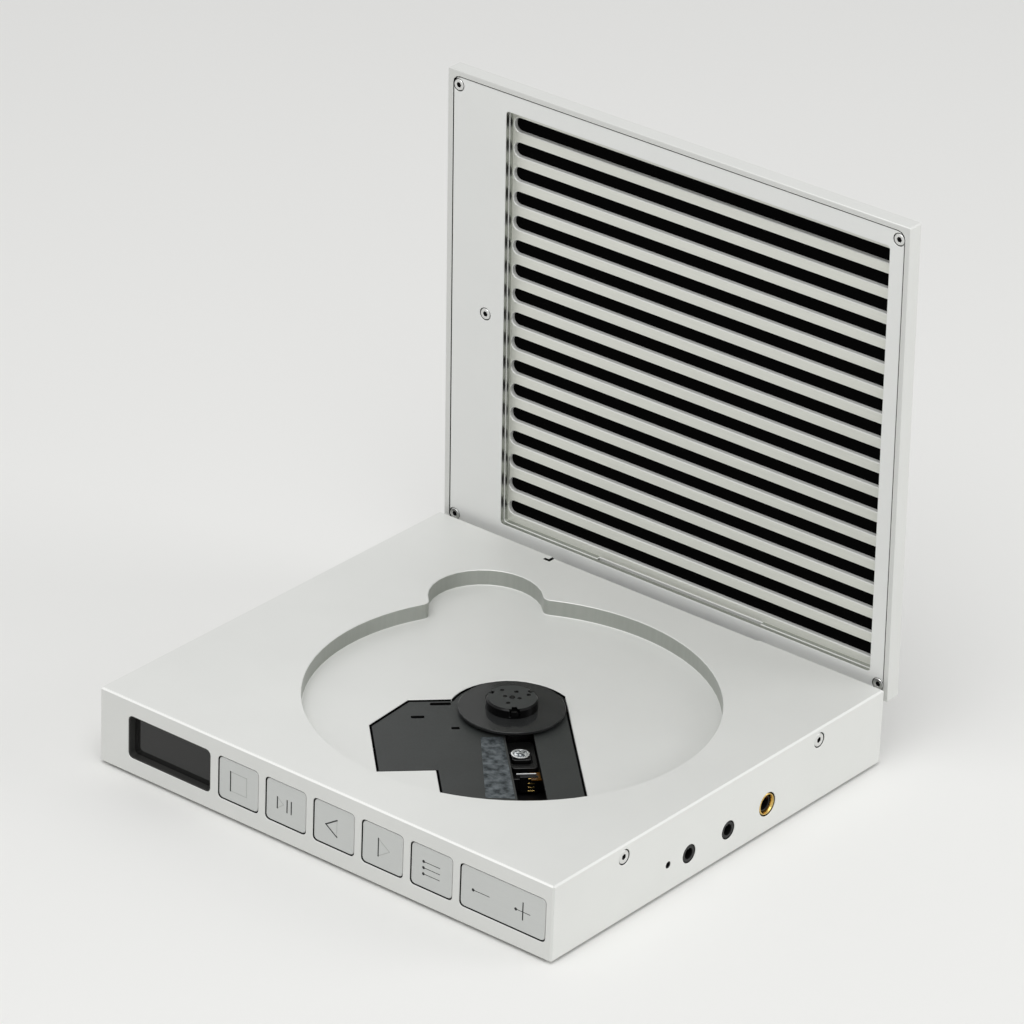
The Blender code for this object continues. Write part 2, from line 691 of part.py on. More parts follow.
def cut_hinge_room(case):
    """The rear chamfer, the room for the hinge and the small reliefs at its ends."""
    corner = HALF_DEPTH - REAR_CHAMFER
    outside = HALF_DEPTH + OVERRUN
    above = CASE_HEIGHT + OVERRUN
    shoulder = CASE_HEIGHT - REAR_CHAMFER
    wedge = [(corner, CASE_HEIGHT), (HALF_DEPTH, shoulder), (outside, shoulder), (outside, above), (corner, above)]
    cut(case, prism(wedge, -HALF_WIDTH - OVERRUN, HALF_WIDTH + OVERRUN, "X"))
    low, high = hinge_zone()
    zone = (low - KNUCKLE_GAP, high + KNUCKLE_GAP)
    slot_front = HINGE_Y + LEAF_STANDOFF - SLIDE_GAP
    bottom = HINGE_Z - LEAF_STANDOFF - LEAF_THICKNESS - SLIDE_GAP
    wall_front = HALF_DEPTH - CASE_WALL - FUSE_DEPTH
    cut(case, block(zone, (wall_front, HALF_DEPTH + OVERRUN), (bottom, DECK_BOTTOM)))
    cut(case, block(zone, (slot_front, HALF_DEPTH + OVERRUN), (bottom, CASE_HEIGHT + OVERRUN)))
    relief_front = HALF_DEPTH - RELIEF_DEPTH
    relief = (zone[0] - RELIEF_WIDTH, zone[0] + FUSE_DEPTH)
    hook = (zone[0] - RELIEF_HOOK, zone[0] + FUSE_DEPTH)
    depth = (DECK_BOTTOM - OVERRUN, CASE_HEIGHT + OVERRUN)
    cut(case, block(relief, (relief_front, HALF_DEPTH + OVERRUN), depth))
    cut(case, block(hook, (relief_front - RELIEF_WIDTH, relief_front + FUSE_DEPTH), depth))


def build_bottom(frame, metal, rubber):
    """The bottom cover with its lugs and posts, and the four feet under it."""
    side = HALF_WIDTH - CASE_WALL - SLIDE_GAP
    depth = HALF_DEPTH - CASE_WALL - SLIDE_GAP
    cover = piece("bottom_cover", block((-side, side), (-depth, depth), (0, COVER_THICKNESS)), metal, frame)
    root = COVER_THICKNESS - FUSE_DEPTH
    lug_top = DECK_BOTTOM - SEAT_GAP
    for direction, y in side_screw_places():
        x = sorted((direction * (side - LUG_THICKNESS), direction * (side - FUSE_DEPTH)))
        half = LUG_WIDTH / 2
        fuse(cover, block(x, (y - half, y + half), (root, lug_top)))
        hole = sorted((direction * (side - LUG_THICKNESS - OVERRUN), direction * (side + OVERRUN)))
        cut(cover, rod((y, SIDE_SCREW_Z), SIDE_SHANK_RADIUS + RUNNING_GAP, *hole, SMALL_STEPS, "X"))
    for x, y in main_board_posts():
        fuse(cover, rod((x, y), POST_RADIUS, root, COVER_THICKNESS + MAIN_BOARD_STANDOFF))
    seat = CHASSIS_BOTTOM - SEAT_GAP - DAMPER_HEIGHT - SEAT_GAP
    for place in damper_places():
        x, y = drive_spot(*place)
        fuse(cover, rod((x, y), DAMPER_RADIUS, root, seat))
        fuse(cover, rod((x, y), SPIGOT_RADIUS, seat - FUSE_DEPTH, CHASSIS_TOP + SEAT_GAP, TINY_STEPS))
    foot = turned([(0, -FOOT_HEIGHT), (FOOT_RADIUS, -FOOT_HEIGHT), (FOOT_RADIUS, FOOT_RECESS - SEAT_GAP),
                   (0, FOOT_RECESS - SEAT_GAP)], ROUND_STEPS)
    foot_mesh = mesh_from("foot", foot)
    foot_mesh.materials.append(rubber)
    foot_x = HALF_WIDTH - FOOT_INSET
    foot_y = HALF_DEPTH - FOOT_INSET
    places = [(side * foot_x, end * foot_y) for side in (-1, 1) for end in (-1, 1)]
    for number, (x, y) in enumerate(places, 1):
        cut(cover, rod((x, y), FOOT_RADIUS + SLIDE_GAP, -OVERRUN, FOOT_RECESS, ROUND_STEPS))
        link(bpy.data.objects.new(f"foot_{number}", foot_mesh), frame, (x, y, 0))


def screw_mesh(name, head_radius, head, shank_radius, shank, finish):
    """A flat-headed socket screw, head face at z = 0, shank down."""
    tip = -head - shank
    profile = [(0, tip), (shank_radius, tip), (shank_radius, -head), (head_radius, -head), (head_radius, 0),
               (SOCKET_RADIUS, 0), (SOCKET_RADIUS, -SOCKET_DEPTH), (0, -SOCKET_DEPTH)]
    mesh = mesh_from(name, turned(profile, SMALL_STEPS))
    mesh.materials.append(finish)
    return mesh


def build_side_screws(frame, steel):
    """Two screws through each side wall into the bottom cover's lugs."""
    mesh = screw_mesh("side_screw", SIDE_HEAD_RADIUS, SIDE_HEAD_THICKNESS, SIDE_SHANK_RADIUS, SIDE_SHANK_LENGTH,
                      steel)
    face = HALF_WIDTH - SIDE_BORE_DEPTH + SEAT_GAP + SIDE_HEAD_THICKNESS
    for number, (side, y) in enumerate(side_screw_places(), 1):
        screw = bpy.data.objects.new(f"side_screw_{number}", mesh)
        link(screw, frame, (side * face, y, SIDE_SCREW_Z), side * math.pi / 2, "Y")


def phone_jack_places():
    """Places of the two small jacks along the right side."""
    return (PHONE_JACK_Y, PHONE_JACK_Y - PHONE_JACK_PITCH)


def supply_outline(grow):
    """The supply socket's oval mouth on the left side."""
    half = SUPPLY_WIDTH / 2 + grow
    tall = SUPPLY_HEIGHT / 2 + grow
    return rounded((-half, half), (PHONE_JACK_HEIGHT - tall, PHONE_JACK_HEIGHT + tall), tall - FUSE_DEPTH)


def board_side():
    """Outer edge of the main board, clear of the right wall."""
    return HALF_WIDTH - CASE_WALL - SLIDE_GAP - SEAT_GAP


def main_board_posts():
    """Posts of the bottom cover that carry the main board and the supply board."""
    right = board_side() - POST_RADIUS
    left = board_side() - MAIN_BOARD_WIDTH + POST_RADIUS
    front = MAIN_BOARD_FRONT_Y + POST_RADIUS
    back = MAIN_BOARD_BACK_Y - POST_RADIUS
    return [(x, y) for x in (left, right) for y in (front, back)]


def jack_shape(face, y, height, nose_radius, bore_radius, body_side):
    """A jack: square body behind the wall and a round nose in it."""
    wall_inside = HALF_WIDTH - CASE_WALL - SEAT_GAP
    half = body_side / 2
    low = COVER_THICKNESS + MAIN_BOARD_STANDOFF + MAIN_BOARD_THICKNESS + 2 * SEAT_GAP
    return (block((wall_inside - JACK_BODY_LENGTH, wall_inside), (y - half, y + half), (low, height + half)),
            rod((y, height), nose_radius, wall_inside - FUSE_DEPTH, face, ROUND_STEPS, "X"),
            rod((y, height), bore_radius, face - JACK_BORE_DEPTH, face + OVERRUN, ROUND_STEPS, "X"))


def build_sockets(frame, plastic, gold, steel):
    """The three jacks on the right and the supply socket on the left."""
    face = HALF_WIDTH - JACK_FACE_RECESS
    nose = BALANCED_HOLE_RADIUS - SLIDE_GAP - BALANCED_SLEEVE_WALL - SLIDE_GAP
    body, nose_rod, bore = jack_shape(face - SLEEVE_LENGTH / 3, BALANCED_JACK_Y, BALANCED_JACK_HEIGHT, nose,
                                      BALANCED_BORE_RADIUS, BALANCED_BODY_SIDE)
    jack = piece("balanced_jack", body, plastic, frame)
    fuse(jack, nose_rod)
    cut(jack, bore)
    outer = BALANCED_HOLE_RADIUS - SLIDE_GAP
    inner = outer - BALANCED_SLEEVE_WALL
    inside = HALF_WIDTH - CASE_WALL
    place = (0, BALANCED_JACK_Y, BALANCED_JACK_HEIGHT)
    sleeve = tube(inner, outer, inside, face, ROUND_STEPS)
    piece("balanced_jack_sleeve", sleeve, gold, frame, place, math.pi / 2, "Y")
    for name, y in zip(("headphone_jack", "line_jack"), phone_jack_places()):
        body, nose_rod, bore = jack_shape(face, y, PHONE_JACK_HEIGHT, PHONE_HOLE_RADIUS - SLIDE_GAP,
                                          PHONE_BORE_RADIUS, PHONE_BODY_SIDE)
        small = piece(name, body, plastic, frame)
        fuse(small, nose_rod)
        cut(small, bore)
    build_supply_socket(frame, steel)


def build_supply_socket(frame, steel):
    """A flat oval shell with a tongue in it, through the left wall."""
    face = -HALF_WIDTH + JACK_FACE_RECESS
    back = face + SUPPLY_LENGTH
    socket = piece("supply_socket", prism(supply_outline(0), face, back, "X"), steel, frame)
    cut(socket, prism(supply_outline(-SUPPLY_WALL), face - OVERRUN, back - SUPPLY_WALL, "X"))
    half = SUPPLY_WIDTH / 4
    middle = (PHONE_JACK_HEIGHT - SUPPLY_TONGUE / 2, PHONE_JACK_HEIGHT + SUPPLY_TONGUE / 2)
    fuse(socket, block((face + SUPPLY_WALL, back - SUPPLY_WALL / 2), (-half, half), middle))
    low = COVER_THICKNESS + SEAT_GAP
    under = PHONE_JACK_HEIGHT - SUPPLY_HEIGHT / 2 + SUPPLY_WALL / 2
    inside = -HALF_WIDTH + CASE_WALL + SEAT_GAP
    fuse(socket, block((inside, back), (-half, half), (low, under)))


def build_boards(frame, board_green, wrap):
    """The main board with its chips, and the battery beside it."""
    low = COVER_THICKNESS + MAIN_BOARD_STANDOFF + SEAT_GAP
    top = low + MAIN_BOARD_THICKNESS
    right = board_side()
    left = right - MAIN_BOARD_WIDTH
    board = piece("main_board", block((left, right), (MAIN_BOARD_FRONT_Y, MAIN_BOARD_BACK_Y), (low, top)),
                  board_green, frame)
    chip_left = left + CHIP_INSET
    chip_x = (chip_left, chip_left + CHIP_SIDE)
    for share in CHIP_SHARES:
        y = MAIN_BOARD_FRONT_Y + (MAIN_BOARD_BACK_Y - MAIN_BOARD_FRONT_Y) * share
        fuse(board, block(chip_x, (y, y + CHIP_SIDE), (top - FUSE_DEPTH, top + CHIP_HEIGHT)))
    pack_left = -HALF_WIDTH + BATTERY_GAP_TO_WALL
    pack_ends = (-BATTERY_LENGTH / 2, BATTERY_LENGTH / 2)
    outline = rounded((pack_left, pack_left + BATTERY_WIDTH), pack_ends, BATTERY_CORNER)
    bottom = COVER_THICKNESS + SEAT_GAP
    piece("battery_pack", prism(outline, bottom, bottom + BATTERY_HEIGHT), wrap, frame)


def build_display(frame, black, glass):
    """Bezel, tinted window and display module behind the front wall."""
    front = -HALF_DEPTH
    ring_end = front + LENS_RECESS + LENS_THICKNESS + SEAT_GAP
    flange = front + CASE_WALL + SEAT_GAP
    ring_shape = prism(window_outline(SLIDE_GAP), front + KEY_RECESS, ring_end, "Y")
    bezel = piece("display_bezel", ring_shape, black, frame)
    fuse(bezel, prism(window_outline(-BEZEL_FLANGE), flange, flange + BEZEL_FLANGE_THICKNESS, "Y"))
    cut(bezel, prism(window_outline(SLIDE_GAP + BEZEL_RING), front - OVERRUN, ring_end + OVERRUN, "Y"))
    lens = window_outline(SLIDE_GAP + BEZEL_RING + RUNNING_GAP)
    lens_front = front + LENS_RECESS
    piece("display_lens", prism(lens, lens_front, lens_front + LENS_THICKNESS, "Y"), glass, frame)
    module = window_outline(-LCD_MARGIN)
    module_front = max(ring_end, flange + BEZEL_FLANGE_THICKNESS) + SEAT_GAP
    module_back = front + BOARD_SETBACK - SEAT_GAP
    piece("display_module", prism(module, module_front, module_back, "Y"), black, frame)


def build_key_board(frame, board_green):
    """The board behind the keys, with a switch for each key and two for the rocker."""
    face = -HALF_DEPTH + BOARD_SETBACK
    edge = HALF_WIDTH - CASE_WALL - BOARD_END_MARGIN
    low = ROW_HEIGHT - BOARD_HEIGHT / 2
    thick = (face, face + BOARD_THICKNESS)
    board = piece("key_board", block((-edge, edge), thick, (low, low + BOARD_HEIGHT)), board_green, frame)
    tip = switch_tip()
    middle = rocker_middle()
    arm = KEY_OPENING_WIDTH / 2
    for x in key_centres() + [middle - arm, middle + arm]:
        half = SWITCH_SIDE / 2
        body_front = tip + SWITCH_CAP_HEIGHT
        switch_z = (ROW_HEIGHT - half, ROW_HEIGHT + half)
        fuse(board, block((x - half, x + half), (body_front, face + FUSE_DEPTH), switch_z))
        fuse(board, rod((x, ROW_HEIGHT), SWITCH_CAP_RADIUS, tip, body_front + FUSE_DEPTH, TINY_STEPS, "Y"))
    for side in (-1, 1):
        x = sorted((side * (edge - BOARD_END_MARGIN), side * edge))
        fuse(board, block(x, thick, (COVER_THICKNESS + SEAT_GAP, low + FUSE_DEPTH)))


def key_back():
    """Where a key's plunger ends."""
    return -HALF_DEPTH + CASE_WALL + SEAT_GAP + KEY_FLANGE_THICKNESS + KEY_PLUNGER_LENGTH


def switch_tip():
    """Where a switch's cap starts: one travel and a little behind the plunger."""
    return key_back() + KEY_TRAVEL + KEY_STOP_GAP


def key_shapes(width, plungers):
    """A key about its own middle: cap, flange behind the wall, plungers."""
    front = -HALF_DEPTH
    flange = front + CASE_WALL + SEAT_GAP
    flange_end = flange + KEY_FLANGE_THICKNESS
    flange_width = KEY_OPENING_WIDTH * (1 if len(plungers) == 1 else ROCKER_FLANGE_SHARE)
    shapes = [prism(key_outline(0, width, SLIDE_GAP), front + KEY_RECESS, flange_end - FUSE_DEPTH, "Y"),
              prism(key_outline(0, flange_width, -KEY_FLANGE), flange, flange_end, "Y")]
    for x in plungers:
        span = (flange_end - FUSE_DEPTH, key_back())
        shapes.append(rod((x, ROW_HEIGHT), KEY_PLUNGER_RADIUS, *span, TINY_STEPS, "Y"))
    for shape in shapes:
        bmesh.ops.translate(shape, vec=(0, -front, -ROW_HEIGHT), verts=shape.verts)
    return shapes


def build_keys(frame, metal):
    """Five keys that push in, and a rocker that tilts about its middle."""
    names = ("key_stop", "key_play", "key_previous", "key_next", "key_list")
    for name, x in zip(names, key_centres()):
        cap, *rest = key_shapes(KEY_OPENING_WIDTH, [0])
        key = piece(name, cap, metal, frame, (x, -HALF_DEPTH, ROW_HEIGHT))
        fuse(key, *rest)
    arm = KEY_OPENING_WIDTH / 2
    cap, *rest = key_shapes(2 * KEY_OPENING_WIDTH, [-arm, arm])
    rocker = piece("volume_rocker", cap, metal, frame, (rocker_middle(), -HALF_DEPTH, ROW_HEIGHT))
    fuse(rocker, *rest)


def lid_y(along):
    """Closed-lid place, from the hinge, of a point that far from the lid's rear edge."""
    return LID_BACK - along


def lid_screw_places():
    """(x, along) of the five lid screws: four corners and the middle of the wide margin."""
    x = HALF_WIDTH - LID_SCREW_INSET_X
    ends = (LID_SCREW_INSET_END, LID_LENGTH - LID_SCREW_INSET_END)
    corners = [(side * x, end) for end in ends for side in (-1, 1)]
    return corners + [(LID_MIDDLE_SCREW_INSET - HALF_WIDTH, LID_LENGTH / 2)]


def lid_window():
    """The slotted window's low and high x and y, from the hinge, lid closed."""
    x = (-HALF_WIDTH + WINDOW_LEFT_MARGIN, HALF_WIDTH - WINDOW_RIGHT_MARGIN)
    y = (lid_y(LID_LENGTH - WINDOW_END_MARGIN), lid_y(WINDOW_END_MARGIN))
    return x, y


def plate_outline(shrink):
    """The inner plate or the pocket that it lies in."""
    side = HALF_WIDTH - PLATE_RIM - shrink
    ends = (LID_FRONT + PLATE_RIM + shrink, LID_BACK - PLATE_RIM - shrink)
    return rounded((-side, side), ends, PLATE_CORNER)


def build_lid(pivot, metal, steel):
    """Lid shell with its slots, the inner plate and their screws, drawn closed."""
    outer_face = LID_FACE + LID_THICKNESS
    body = chamfered((-HALF_WIDTH, HALF_WIDTH), (LID_FRONT, LID_BACK), (LID_FACE, outer_face), LID_CHAMFER)
    shell = piece("lid_shell", body, metal, pivot)
    seat = LID_FACE + PLATE_SUNK + PLATE_THICKNESS + SEAT_GAP
    cut(shell, prism(plate_outline(0), LID_FACE - OVERRUN, seat))
    window_x, window_y = lid_window()
    slat_face = LID_FACE + PLATE_SUNK + WINDOW_DEPTH
    cut(shell, prism(rounded(window_x, window_y, WINDOW_CORNER), LID_FACE - OVERRUN, slat_face))
    middle = (window_y[0] + window_y[1]) / 2
    slot_x = (window_x[0] + SLOT_END_INSET, window_x[1] - SLOT_END_INSET)
    for i in range(SLOT_COUNT):
        y = middle + SLOT_PITCH * (i - (SLOT_COUNT - 1) / 2)
        half = SLOT_HEIGHT / 2
        outline = rounded(slot_x, (y - half, y + half), half - FUSE_DEPTH)
        cut(shell, prism(outline, slat_face - OVERRUN, outer_face + OVERRUN))
    cut_hinge_pocket(shell, seat)
    plate_face = LID_FACE + PLATE_SUNK
    flat = prism(plate_outline(SLIDE_GAP), plate_face, plate_face + PLATE_THICKNESS)
    plate = piece("lid_inner_plate", flat, metal, pivot)
    cut(plate, prism(rounded(window_x, window_y, WINDOW_CORNER), plate_face - OVERRUN, seat + OVERRUN))
    fasten_lid(shell, plate, pivot, steel)
    place_lid_magnets(shell, seat, pivot, steel)


def cut_hinge_pocket(shell, seat):
    """The pocket in the lid's rear rail that takes the hinge leaf, open into the window."""
    low, high = hinge_zone()
    zone = (low - KNUCKLE_GAP, high + KNUCKLE_GAP)
    rear = LID_BACK + OVERRUN
    pocket_end = lid_y(LID_LEAF_REACH + SLIDE_GAP)
    cut(shell, block(zone, (pocket_end, rear), (seat - FUSE_DEPTH, seat + POCKET_DEPTH)))
    cut(shell, block(zone, (lid_y(PLATE_RIM) - FUSE_DEPTH, rear), (LID_FACE - OVERRUN, seat + FUSE_DEPTH)))
    slit_low = low + SLIT_START
    slit_high = slit_low + SLIT_LENGTH
    cut(shell, block((slit_low, slit_high), (lid_y(WINDOW_END_MARGIN) - OVERRUN, pocket_end + FUSE_DEPTH),
                     (seat - FUSE_DEPTH, seat + POCKET_DEPTH)))


def fasten_lid(shell, plate, pivot, steel):
    """Five screws through the inner plate into the shell."""
    mesh = screw_mesh("lid_screw", LID_HEAD_RADIUS, LID_HEAD_THICKNESS, LID_SHANK_RADIUS, LID_SHANK_LENGTH,
                      steel)
    face = LID_FACE + PLATE_SUNK
    head_top = face + LID_BORE_DEPTH - SEAT_GAP - LID_HEAD_THICKNESS
    shank_end = head_top + LID_HEAD_THICKNESS + LID_SHANK_LENGTH
    for number, (x, along) in enumerate(lid_screw_places(), 1):
        y = lid_y(along)
        cut(plate, rod((x, y), LID_HEAD_RADIUS + SLIDE_GAP, face - OVERRUN, face + LID_BORE_DEPTH))
        cut(plate, rod((x, y), LID_SHANK_RADIUS + RUNNING_GAP, face, face + PLATE_THICKNESS + OVERRUN))
        cut(shell, rod((x, y), LID_SHANK_RADIUS + RUNNING_GAP, face, shank_end + SEAT_GAP))
        link(bpy.data.objects.new(f"lid_screw_{number}", mesh), pivot, (x, y, head_top), math.pi, "X")


def magnet_mesh(steel):
    """One round magnet, bottom face at z = 0."""
    mesh = mesh_from("magnet", rod((0, 0), MAGNET_RADIUS, 0, MAGNET_LENGTH))
    mesh.materials.append(steel)
    return mesh


def place_lid_magnets(shell, seat, pivot, steel):
    """Two magnets under the inner plate, at the lid's free edge."""
    mesh = magnet_mesh(steel)
    y = lid_y(LID_LENGTH - MAGNET_INSET)
    for number, side in enumerate((-1, 1), 1):
        x = side * MAGNET_SPAN / 2
        cut(shell, rod((x, y), MAGNET_RADIUS + SLIDE_GAP, seat - OVERRUN, seat + MAGNET_LENGTH + SEAT_GAP))
        link(bpy.data.objects.new(f"lid_magnet_{number}", mesh), pivot, (x, y, seat))


def place_case_magnets(frame, steel):
    """Two magnets under the deck's front edge, facing the lid's."""
    mesh = magnet_mesh(steel)
    y = HINGE_Y + lid_y(LID_LENGTH - MAGNET_INSET)
    for number, side in enumerate((-1, 1), 1):
        place = (side * MAGNET_SPAN / 2, y, DECK_BOTTOM - SEAT_GAP - MAGNET_LENGTH)
        link(bpy.data.objects.new(f"case_magnet_{number}", mesh), frame, place)


def knuckle_spans(own):
    """X spans of the knuckles on one leaf: own is 0 for the case's, 1 for the lid's."""
    low, high = hinge_zone()
    pitch = (high - low) / KNUCKLE_COUNT
    return [(low + pitch * i + KNUCKLE_GAP / 2, low + pitch * (i + 1) - KNUCKLE_GAP / 2)
            for i in range(own, KNUCKLE_COUNT, 2)]


def other_spans(own):
    """X spans between and beyond one leaf's knuckles, with room for the other's."""
    low, high = hinge_zone()
    edges = [low - OVERRUN] + [x for span in knuckle_spans(own) for x in span] + [high + OVERRUN]
    spans = list(zip(edges[::2], edges[1::2]))
    return [span for span in spans if span[1] - span[0] > OVERRUN + KNUCKLE_GAP]


def case_leaf_profile():
    """The case leaf from the side: a plate under the deck that ends in the barrel."""
    front = -BARREL_RADIUS - CASE_LEAF_REACH
    low = BARREL_RADIUS - LEAF_THICKNESS
    join = math.pi - math.asin(low / BARREL_RADIUS)
    points = [(front, low), (front, BARREL_RADIUS)]
    return points + arc((0, 0), BARREL_RADIUS, math.pi / 2, join - math.tau, SMALL_STEPS)


def lid_leaf_profile():
    """The lid leaf from the side, lid closed: barrel, stem and flange."""
    low = LID_FACE + PLATE_SUNK + PLATE_THICKNESS + SEAT_GAP + SEAT_GAP / 2
    stem_back = LEAF_STANDOFF + LEAF_THICKNESS - FUSE_DEPTH / 2
    join = math.acos(LEAF_STANDOFF / BARREL_RADIUS)
    flange_end = lid_y(LID_LEAF_REACH)
    high = low + LEAF_THICKNESS
    points = [(stem_back, 0), (stem_back, high), (flange_end, high), (flange_end, low), (LEAF_STANDOFF, low)]
    return points + arc((0, 0), BARREL_RADIUS, join, math.tau, SMALL_STEPS)


def build_hinge(frame, pivot, steel):
    """The case leaf under the deck, the lid leaf in the lid's rail, and their pin."""
    ends = hinge_zone()
    bore_ends = (ends[0] - OVERRUN, ends[1] + OVERRUN)
    bore_radius = PIN_RADIUS + RUNNING_GAP
    axis = empty("hinge_axis", frame, (0, HINGE_Y, HINGE_Z))
    case_leaf = piece("hinge_case_leaf", prism(case_leaf_profile(), *ends, "X"), steel, axis)
    clear = BARREL_RADIUS + SLIDE_GAP
    for span in other_spans(0):
        cut(case_leaf, block(span, (-clear, clear), (-clear, clear)))
    cut(case_leaf, rod((0, 0), bore_radius, *bore_ends, SMALL_STEPS, "X"))
    lid_leaf = piece("hinge_lid_leaf", prism(lid_leaf_profile(), *ends, "X"), steel, pivot)
    for span in other_spans(1):
        cut(lid_leaf, block(span, (-clear, clear + OVERRUN), (-clear, LID_FACE - LID_GAP / 2)))
    cut(lid_leaf, rod((0, 0), bore_radius, *bore_ends, SMALL_STEPS, "X"))
    piece("hinge_pin", rod((0, 0), PIN_RADIUS, *ends, SMALL_STEPS, "X"), steel, axis)


def drive_spot(u, v):
    """A place in the drive unit's frame as a place in the case's frame."""
    turn = Matrix.Rotation(DRIVE_TURN, 2)
    place = turn @ Vector((u, v))
    return (WELL_OFFSET_X + place.x, place.y)


def damper_places():
    """(u, v) of the three dampers, two by the spindle and one at the far end."""
    near = CHASSIS_START + DAMPER_INSET
    side = CHASSIS_HALF - DAMPER_INSET
    return [(near, -side), (near, side), (CHASSIS_END - DAMPER_INSET, 0)]


def build_chassis(drive, plastic, rubber):
    """The drive unit's chassis, its posts, and the rubber dampers under it."""
    outline = [(CHASSIS_START, -CHASSIS_HALF), (WING_START, -CHASSIS_HALF), (WING_START, WING_SHOULDER),
               (WING_SLANT_END, WING_SIDE), (WING_END, WING_SIDE), (WING_END, -CHASSIS_HALF),
               (CHASSIS_END, -CHASSIS_HALF), (CHASSIS_END, CHASSIS_HALF), (CHASSIS_START, CHASSIS_HALF)]
    chassis = piece("drive_chassis", prism(outline, CHASSIS_BOTTOM, CHASSIS_TOP), plastic, drive)
    root = CHASSIS_TOP - FUSE_DEPTH
    half = ROD_POST_WIDTH / 2
    for v in (-ROD_SPREAD, ROD_SPREAD):
        for start in (ROD_START - SEAT_GAP, ROD_END + SEAT_GAP - ROD_POST_LENGTH):
            post = ((start, start + ROD_POST_LENGTH), (v - half, v + half), (root, ROD_HEIGHT + ROD_POST_COVER))
            fuse(chassis, block(*post))
        for low, high in ((ROD_START, ROD_START + ROD_POST_LENGTH), (ROD_END - ROD_POST_LENGTH, ROD_END)):
            cut(chassis, rod((v, ROD_HEIGHT), ROD_RADIUS + RUNNING_GAP, low, high, SMALL_STEPS, "X"))
    for shares in COVER_POST_SHARES:
        place = [share * -HATCH_LEFT for share in shares]
        fuse(chassis, rod(place, CHASSIS_POST_RADIUS, root, COVER_BOTTOM - SEAT_GAP, TINY_STEPS))
    fuse(chassis, rod((GEAR_PLACE, GEAR_SIDE), GEAR_AXLE_RADIUS, root, GEAR_TOP, TINY_STEPS))
    cut(chassis, rod((PINION_PLACE, PINION_SIDE), SLED_SHAFT_RADIUS + SLIDE_GAP, CHASSIS_BOTTOM - OVERRUN,
                     CHASSIS_TOP + OVERRUN, TINY_STEPS))
    hole_radius = SPIGOT_RADIUS + SEAT_GAP
    mesh = mesh_from("damper", tube(hole_radius, DAMPER_RADIUS, 0, DAMPER_HEIGHT, SMALL_STEPS))
    mesh.materials.append(rubber)
    for number, (u, v) in enumerate(damper_places(), 1):
        cut(chassis, rod((u, v), hole_radius, CHASSIS_BOTTOM - OVERRUN, CHASSIS_TOP + OVERRUN, TINY_STEPS))
        damper = bpy.data.objects.new(f"damper_{number}", mesh)
        link(damper, drive, (u, v, CHASSIS_BOTTOM - SEAT_GAP - DAMPER_HEIGHT))


def build_drive_cover(drive, dark_metal):
    """The dark cover plate that shows in the well, with the pickup's slot."""
    flat = prism(hatch_outline(COVER_CLEARANCE), COVER_BOTTOM, COVER_TOP)
    cover = piece("drive_cover", flat, dark_metal, drive)
    depth = (COVER_BOTTOM - OVERRUN, COVER_TOP + OVERRUN)
    cut(cover, block((PICKUP_SLOT_START, WELL_RADIUS), (PICKUP_SLOT_LOW, PICKUP_SLOT_HIGH), depth))
    cut(cover, rod((0, 0), SPINDLE_HOLE_RADIUS, *depth))
    for u_share, v_share, length_share in VENT_SHARES:
        u, v, half = (share * -HATCH_LEFT for share in (u_share, v_share, length_share / 2))
        outline = rounded((u - VENT_HEIGHT / 2, u + VENT_HEIGHT / 2), (v - half, v + half),
                          VENT_HEIGHT / 2 - FUSE_DEPTH)
        cut(cover, prism(outline, *depth))


